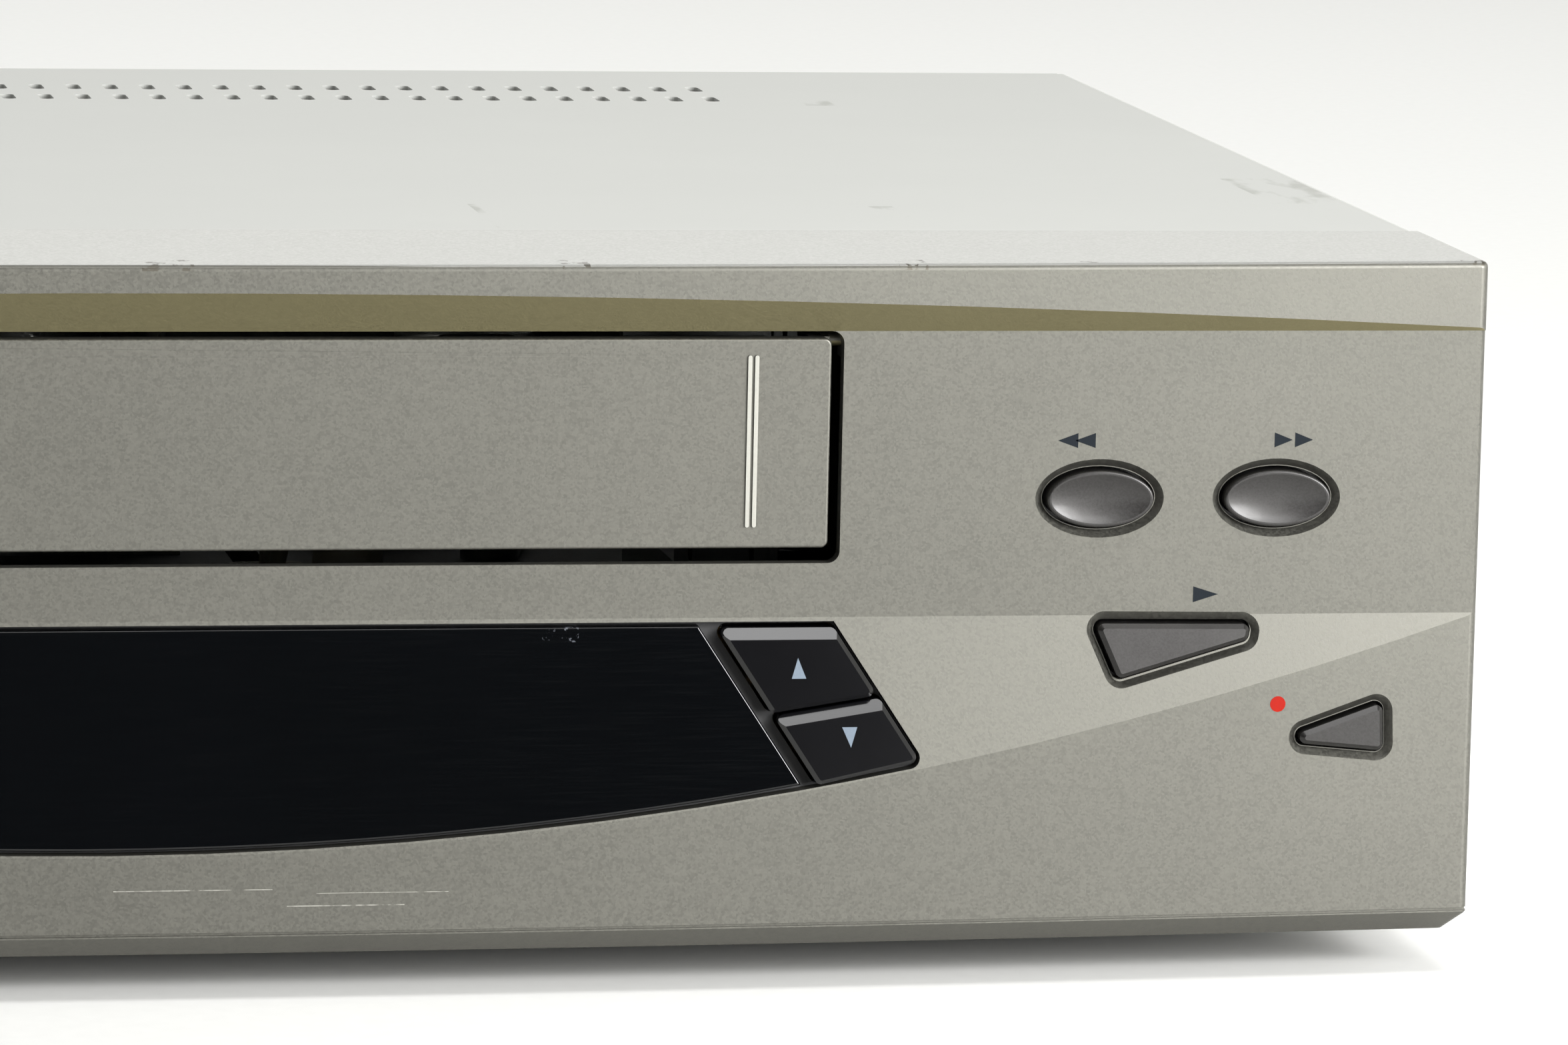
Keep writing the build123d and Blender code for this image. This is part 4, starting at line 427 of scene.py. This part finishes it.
slotMaterials = {
    "painted_abs": silverPaintedAbs("silverPaintedAbs", silverPaint),
    "coated_steel": stovedEnamelSteel("stovedEnamelSteel", coverEnamel),
    "key_abs": greyLacqueredAbs("greyLacqueredAbs", keyLacquer),
    "smoked_acrylic": smokedAcrylic("smokedAcrylic", smokedLens),
    "galvanised_steel": galvanisedSheet("galvanisedSheet", zincSheet),
    "machined_aluminium": turnedAluminium("turnedAluminium", latheTurned),
    "circuit_board": phenolicPaper("phenolicPaper", phenolicBoard),
    "tube_glass": gridGlass("gridGlass", displayTube),
    "black_abs": plainFinish("mouldedBlackAbs"),
    "gloss_black_abs": plainFinish("polishedBlackAbs"),
    "spring_steel": plainFinish("drawnSpringSteel"),
    "zinc_steel": plainFinish("zincPlatedSteel"),
    "foot_rubber": plainFinish("mouldedBlackRubber"),
    "black_rubber": plainFinish("groundBlackRubber"),
    "capacitor_sleeve": plainFinish("sleevedCapacitor"),
    "lamination_steel": plainFinish("varnishedLaminations"),
    "tinplate": plainFinish("tinnedSheet"),
    "nickel_plate": plainFinish("brightNickel"),
    "cast_aluminium": plainFinish("castAluminium"),
    "white_acetal": plainFinish("mouldedAcetal"),
}
for part in frame["record"]["subparts"]:
    for holder in frame["nodes"][part["node"]].material_slots:
        holder.material = slotMaterials[part["material_slot"]]
print("materials made:", len(slotMaterials))


# Screen-printed ink: thin, matt, with slightly uneven cover (about 0.3 mm grain). It stands a
# little proud of the surface and reaches a little into it.
ink = {
    "metallic": 0.0, "ior": 1.5, "specular": 0.15, "roughness": (0.72, 0.82), "grain": 0.3,
    "proud": 0.03, "sunk": 0.05,
    "darkBlueGreyInk": {"dark": "#12171c", "light": "#1b2127"},
    "redInk": {"dark": "#8c170d", "light": "#991f14"},
    "paleBlueGreyInk": {"dark": "#66717d", "light": "#737e89"},
}


def printedInk(name):
    material, tree, shader, place = startMaterial(name, {
        "Metallic": ink["metallic"], "IOR": ink["ior"], "Specular IOR Level": ink["specular"]})
    cover = patternValue(tree, place, "noise", ink["grain"], detail=3.0)
    dressShader(tree, shader, cover, {**ink[name], "roughness": ink["roughness"]}, cover, noiseSpan)
    return material


darkInk = printedInk("darkBlueGreyInk")
redInk = printedInk("redInk")
paleInk = printedInk("paleBlueGreyInk")

# The front that the marks lie on, in millimetres of the part's frame: an upright flat, below its
# crease a facet that slopes forward, and a chin bowed across the whole width. Each function gives
# the y of one of these surfaces at an x and a z.
front = {
    "flatY": -134.1, "creaseZ": 51.0, "facetForward": 5.9, "facetHeight": 31.2,
    "chinBulge": 5.9, "halfWidth": 190.0, "channelKeyProud": 0.9,
}


def flatY(x, z):
    return front["flatY"]


def channelKeyY(x, z):
    # front face of a channel key, which stands proud of the facet
    slope = front["facetForward"] / front["facetHeight"]
    proud = front["channelKeyProud"] / math.cos(math.atan(slope))
    return front["flatY"] - slope * (front["creaseZ"] - z) - proud


def chinY(x, z):
    bulge = front["chinBulge"]
    radius = (front["halfWidth"] ** 2 + bulge ** 2) / (2 * bulge)
    return front["flatY"] - (math.sqrt(radius ** 2 - x ** 2) - (radius - bulge))


def arrowHeads(heads, z, half):
    # heads are pairs of the x of a tip and the x of its base
    return [[(tip, z), (base, z + half), (base, z - half)] for tip, base in heads]


def bar(left, right, low, high):
    return [(left, low), (right, low), (right, high), (left, high)]


def disc(x, z, radius, count=32):
    turns = [2 * math.pi * i / count for i in range(count)]
    return [(x + radius * math.cos(t), z + radius * math.sin(t)) for t in turns]


def ringPieces(x, z, radius, width, start, end, count=28):
    # short quads along an arc
    pieces = []
    inner, outer = radius - width / 2, radius + width / 2
    for i in range(count):
        a, b = (math.radians(start + (end - start) * k / count) for k in (i, i + 1))
        pieces.append([(x + reach * math.cos(turn), z + reach * math.sin(turn))
                       for reach, turn in ((inner, a), (outer, a), (outer, b), (inner, b))])
    return pieces


def printMark(name, outlines, surfaceY=flatY, body="root", material=darkInk):
    mesh = bpy.data.meshes.new(name)
    build = bmesh.new()
    for outline in outlines:
        near, far = ([build.verts.new((x * mm, (surfaceY(x, z) + depth) * mm, z * mm))
                      for x, z in outline] for depth in (-ink["proud"], ink["sunk"]))
        build.faces.new(near)
        build.faces.new(list(reversed(far)))
        for i in range(len(outline)):
            j = (i + 1) % len(outline)
            build.faces.new((near[j], near[i], far[i], far[j]))
    bmesh.ops.remove_doubles(build, verts=build.verts, dist=1e-7)
    bmesh.ops.recalc_face_normals(build, faces=build.faces)
    build.to_mesh(mesh)
    build.free()
    piece = bpy.data.objects.new(name, mesh)
    bpy.context.collection.objects.link(piece)
    mesh.materials.append(material)
    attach(piece, body)


marks = {    # millimetres
    "upperZ": 75.22, "lowerZ": 53.8,                  # middle of the marks over each row of keys
    "rewind": [(129.96, 132.79), (132.36, 135.23)],   # x of tip and base of each arrow head
    "forward": [(162.97, 160.41), (165.84, 163.29)],
    "play": [(153.05, 149.53)],
    "windHalfHeight": 1.03, "playHalfHeight": 1.1,
    "stop": (-152.6, -150.4), "stopHalfHeight": 1.1,
    # heights are counted from the middle of the mark
    "eject": {"x": -136.0, "half": 1.5, "tip": 1.2, "base": -0.3, "barTop": -0.75, "barLow": -1.2},
    "power": {"x": -160.9, "radius": 1.15, "line": 0.36, "start": -235, "end": 55, "barTop": 1.5},
    "record": {"x": 161.6, "z": 38.65, "radius": 1.1},
    "channelUp": [(94.1, 45.7), (93.2, 42.9), (95.2, 42.9)],
    "channelDown": [(101.3, 33.6), (102.2, 36.35), (100.1, 36.35)],
}
upper, lower = marks["upperZ"], marks["lowerZ"]
printMark("rewindMark", arrowHeads(marks["rewind"], upper, marks["windHalfHeight"]))
printMark("forwardMark", arrowHeads(marks["forward"], upper, marks["windHalfHeight"]))
printMark("playMark", arrowHeads(marks["play"], lower, marks["playHalfHeight"]))
stopHalf = marks["stopHalfHeight"]
printMark("stopMark", [bar(*marks["stop"], lower - stopHalf, lower + stopHalf)])
eject = marks["eject"]
left, right = eject["x"] - eject["half"], eject["x"] + eject["half"]
base = upper + eject["base"]
printMark("ejectMark", [
    [(eject["x"], upper + eject["tip"]), (left, base), (right, base)],
    bar(left, right, upper + eject["barLow"], upper + eject["barTop"])])
power = marks["power"]
lineHalf = power["line"] / 2
printMark("powerMark", [
    *ringPieces(power["x"], upper, power["radius"], power["line"], power["start"], power["end"]),
    bar(power["x"] - lineHalf, power["x"] + lineHalf, upper, upper + power["barTop"])])
printMark("recordDot", [disc(**marks["record"])], chinY, "root", redInk)
printMark("channelUpArrow", [marks["channelUp"]], channelKeyY, "channel_up_key", paleInk)
printMark("channelDownArrow", [marks["channelDown"]], channelKeyY, "channel_down_key", paleInk)
print("marks printed")


# Chip leads: one flat, bent leg after another along the sides of each chip on the main board.
chipLeads = {"pitch": 1.27, "width": 0.45, "reach": 1.3, "thickness": 0.2, "foot": 0.7}
chipRows = {
    "leadZ": 19.1,            # height at which the leads leave a chip
    "cornerGap": 1.2,         # from a chip's corner to its first lead
    "clearance": 0.02,        # between a chip's side and the leads
    "chips": [   # x, setback of the middle, width, length, and whether all four sides have leads
        (-78.0, 92.0, 20.0, 20.0, True), (-62.0, 150.0, 36.0, 9.0, False),
        (20.0, 84.0, 14.0, 30.0, False), (82.0, 120.0, 24.0, 24.0, True),
        (148.0, 96.0, 30.0, 30.0, True), (150.0, 150.0, 16.0, 40.0, False),
        (-20.0, 214.0, 28.0, 14.0, False)],
}


def leadTree():
    tree = bpy.data.node_groups.new("chipLeadRows", "GeometryNodeTree")
    face = tree.interface
    face.new_socket("Geometry", in_out="INPUT", socket_type="NodeSocketGeometry")
    for label, value in chipLeads.items():
        socket = face.new_socket(label, in_out="INPUT", socket_type="NodeSocketFloat")
        socket.default_value = value * mm
    face.new_socket("material", in_out="INPUT", socket_type="NodeSocketMaterial")
    face.new_socket("Geometry", in_out="OUTPUT", socket_type="NodeSocketGeometry")
    given = addNode(tree, "NodeGroupInput").outputs
    sides = addNode(tree, "GeometryNodeMeshToCurve", inputs={0: given["Geometry"]})
    points = addNode(tree, "GeometryNodeCurveToPoints", {"mode": "LENGTH"},
                     {"Curve": sides.outputs[0], "Length": given["pitch"]})
    flatSize = addNode(tree, "ShaderNodeCombineXYZ", inputs={
        0: given["width"], 1: given["foot"], 2: given["thickness"]}).outputs[0]
    legSize = addNode(tree, "ShaderNodeCombineXYZ", inputs={
        0: given["width"], 1: given["thickness"], 2: given["reach"]}).outputs[0]
    # shoulder, leg and foot of a lead: size, distance out in foot lengths, height in reaches
    bends = ((flatSize, 0.5, 0.0), (legSize, 1.0, -0.5), (flatSize, 1.4, -1.0))
    lead = addNode(tree, "GeometryNodeJoinGeometry")
    for size, outward, upward in bends:
        y, z = (addNode(tree, "ShaderNodeMath", {"operation": "MULTIPLY"},
                        {0: length, 1: times}).outputs[0]
                for length, times in ((given["foot"], outward), (given["reach"], upward)))
        shift = addNode(tree, "ShaderNodeCombineXYZ", inputs={1: y, 2: z}).outputs[0]
        block = addNode(tree, "GeometryNodeMeshCube", inputs={"Size": size})
        moved = addNode(tree, "GeometryNodeTransform", inputs={
            "Geometry": block.outputs[0], "Translation": shift})
        tree.links.new(moved.outputs[0], lead.inputs[0])
    placed = addNode(tree, "GeometryNodeInstanceOnPoints", inputs={
        "Points": points.outputs[0], "Instance": lead.outputs[0],
        "Rotation": points.outputs["Rotation"]})
    real = addNode(tree, "GeometryNodeRealizeInstances", inputs={0: placed.outputs[0]})
    done = addNode(tree, "GeometryNodeSetMaterial", inputs={
        "Geometry": real.outputs[0], "Material": given["material"]})
    addNode(tree, "NodeGroupOutput", inputs={0: done.outputs[0]})
    return tree


def chipSides(values):
    # the lines along which leads come out, each one a loose edge
    verts, edges = [], []
    gap = values["cornerGap"]
    for x, setback, width, length, allSides in values["chips"]:
        y = front["flatY"] + setback
        w, d = width / 2 + values["clearance"], length / 2 + values["clearance"]
        sides = []
        if allSides or length >= width:
            sides += [((x - w, y - d + gap), (x - w, y + d - gap)),
                      ((x + w, y + d - gap), (x + w, y - d + gap))]
        if allSides or width > length:
            sides += [((x + w - gap, y - d), (x - w + gap, y - d)),
                      ((x - w + gap, y + d), (x + w - gap, y + d))]
        for side in sides:
            edges.append((len(verts), len(verts) + 1))
            verts += [(across * mm, along * mm, values["leadZ"] * mm) for across, along in side]
    return verts, edges


def applyTree(name, source, tree, values, body):
    # evaluate a node tree on a source mesh and keep the result as a plain mesh
    carrier = bpy.data.objects.new(name + "Source", source)
    bpy.context.collection.objects.link(carrier)
    modifier = carrier.modifiers.new("tree", "NODES")
    modifier.node_group = tree
    for item in tree.interface.items_tree:
        if item.item_type == "SOCKET" and item.in_out == "INPUT" and item.name in values:
            modifier[item.identifier] = values[item.name]
    seen = bpy.context.evaluated_depsgraph_get()
    mesh = bpy.data.meshes.new_from_object(carrier.evaluated_get(seen))
    mesh.name = name
    carrier.modifiers.remove(modifier)
    bpy.data.objects.remove(carrier)
    piece = bpy.data.objects.new(name, mesh)
    bpy.context.collection.objects.link(piece)
    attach(piece, body)
    return piece


verts, edges = chipSides(chipRows)
source = bpy.data.meshes.new("chipSides")
source.from_pydata(verts, edges, [])
leads = applyTree("chipLeads", source, leadTree(), {"material": slotMaterials["tinplate"]}, "root")
print("chip leads:", len(leads.data.polygons), "faces")


# Floor, light and camera, in metres
backdrop = {
    "dark": "#efefed", "light": "#f4f4f2", "ior": 1.4, "roughness": (0.85, 0.95), "grain": 3.0,
    "reach": 6.0,
}
floorMesh = bpy.data.meshes.new("floor")
reach = backdrop["reach"]
corners = [(-reach, -reach, 0), (reach, -reach, 0), (reach, reach, 0), (-reach, reach, 0)]
floorMesh.from_pydata(corners, [], [(0, 1, 2, 3)])
floor = bpy.data.objects.new("floor", floorMesh)
bpy.context.collection.objects.link(floor)
paper, tree, shader, place = startMaterial("matBackdropPaper", {"IOR": backdrop["ior"]})
grain = patternValue(tree, place, "noise", backdrop["grain"])
dressShader(tree, shader, grain, backdrop, grain, noiseSpan)
floorMesh.materials.append(paper)

studio = {
    "colour": "#f6f6f3", "strengthInFront": 0.06,
    # strength of the light from behind, from the right and from above, and the two values of the
    # direction between which it takes over
    "behind": {"strength": 1.9, "between": (-0.1, 0.4)},
    "right": {"strength": 2.4, "between": (0.22, 0.5)},
    "above": {"strength": 0.3, "between": (0.3, 0.7)},
    # power, width, depth, place, and the point that the lamp is turned to
    "lamps": {
        "topLight": (8.5, 1.4, 1.4, (0.3, 1.3, 1.5), (0.05, 0.6, 0.05)),
        "frontLight": (4.9, 0.45, 0.45, (0.56, -1.18, 0.7), (0.1, -0.15, 0.05)),
        "overLight": (6.4, 0.9, 0.36, (0.3, -0.38, 1.3), (0.3, -0.14, 0.05)),
        "rightLight": (22.0, 0.5, 0.5, (0.84, -1.04, 0.36), (0.14, -0.15, 0.05)),
    },
}


def makeSky():
    world = bpy.data.worlds.new("studio")
    world.use_nodes = True
    tree = world.node_tree
    sky = tree.nodes["Background"]
    sky.inputs[0].default_value = sRgb(studio["colour"])
    direction = addNode(tree, "ShaderNodeTexCoord").outputs["Generated"]
    axes = addNode(tree, "ShaderNodeSeparateXYZ", inputs={0: direction}).outputs
    behind, right, above = (
        addNode(tree, "ShaderNodeMapRange", {"clamp": True}, {
            "Value": axes[axis], "From Min": studio[side]["between"][0],
            "From Max": studio[side]["between"][1], "To Min": low, "To Max": high}).outputs[0]
        for axis, side, low, high in (
            (1, "behind", studio["strengthInFront"], studio["behind"]["strength"]),
            (0, "right", studio["strengthInFront"], studio["right"]["strength"]),
            (2, "above", 0.0, 1.0)))
    around = addNode(tree, "ShaderNodeMath", {"operation": "MAXIMUM"},
                     {0: behind, 1: right}).outputs[0]
    strength = addNode(tree, "ShaderNodeMix", {"data_type": "FLOAT"}, {
        0: above, 2: around, 3: studio["above"]["strength"]}).outputs[0]
    tree.links.new(strength, sky.inputs[1])
    bpy.context.scene.world = world


def softLight(name, power, width, depth, position, target):
    data = bpy.data.lights.new(name, "AREA")
    data.shape = "RECTANGLE"
    data.size = width
    data.size_y = depth
    data.energy = power
    lamp = bpy.data.objects.new(name, data)
    bpy.context.collection.objects.link(lamp)
    lamp.location = position
    away = Vector(position) - Vector(target)
    lamp.rotation_euler = away.to_track_quat("Z", "Y").to_euler()


makeSky()
for name, values in studio["lamps"].items():
    softLight(name, *values)

shot = {     # from the photograph's own perspective; angles in degrees
    "place": (-0.11216, -1.2341, 0.23039), "yaw": -10.519, "pitch": -8.455, "roll": -1.271,
    "focalPixels": 12461.8, "imageWidth": 2352.0, "sensorWidth": 36.0, "clip": (0.01, 50.0),
}
lensData = bpy.data.cameras.new("camera")
lensData.sensor_width = shot["sensorWidth"]
lensData.lens = shot["focalPixels"] * shot["sensorWidth"] / shot["imageWidth"]
lensData.clip_start, lensData.clip_end = shot["clip"]
camera = bpy.data.objects.new("camera", lensData)
bpy.context.collection.objects.link(camera)
turn = (Matrix.Rotation(math.radians(shot["yaw"]), 3, "Z")
        @ Matrix.Rotation(math.radians(shot["pitch"]), 3, "X")
        @ Matrix.Rotation(math.radians(shot["roll"]), 3, "Y"))
right, ahead, up = turn.col[0], turn.col[1], turn.col[2]
columns = Matrix((right, up, -ahead)).transposed()
camera.matrix_world = Matrix.Translation(shot["place"]) @ columns.to_4x4()
bpy.context.scene.camera = camera
bpy.context.scene.view_settings.view_transform = "Standard"
print("stage set")
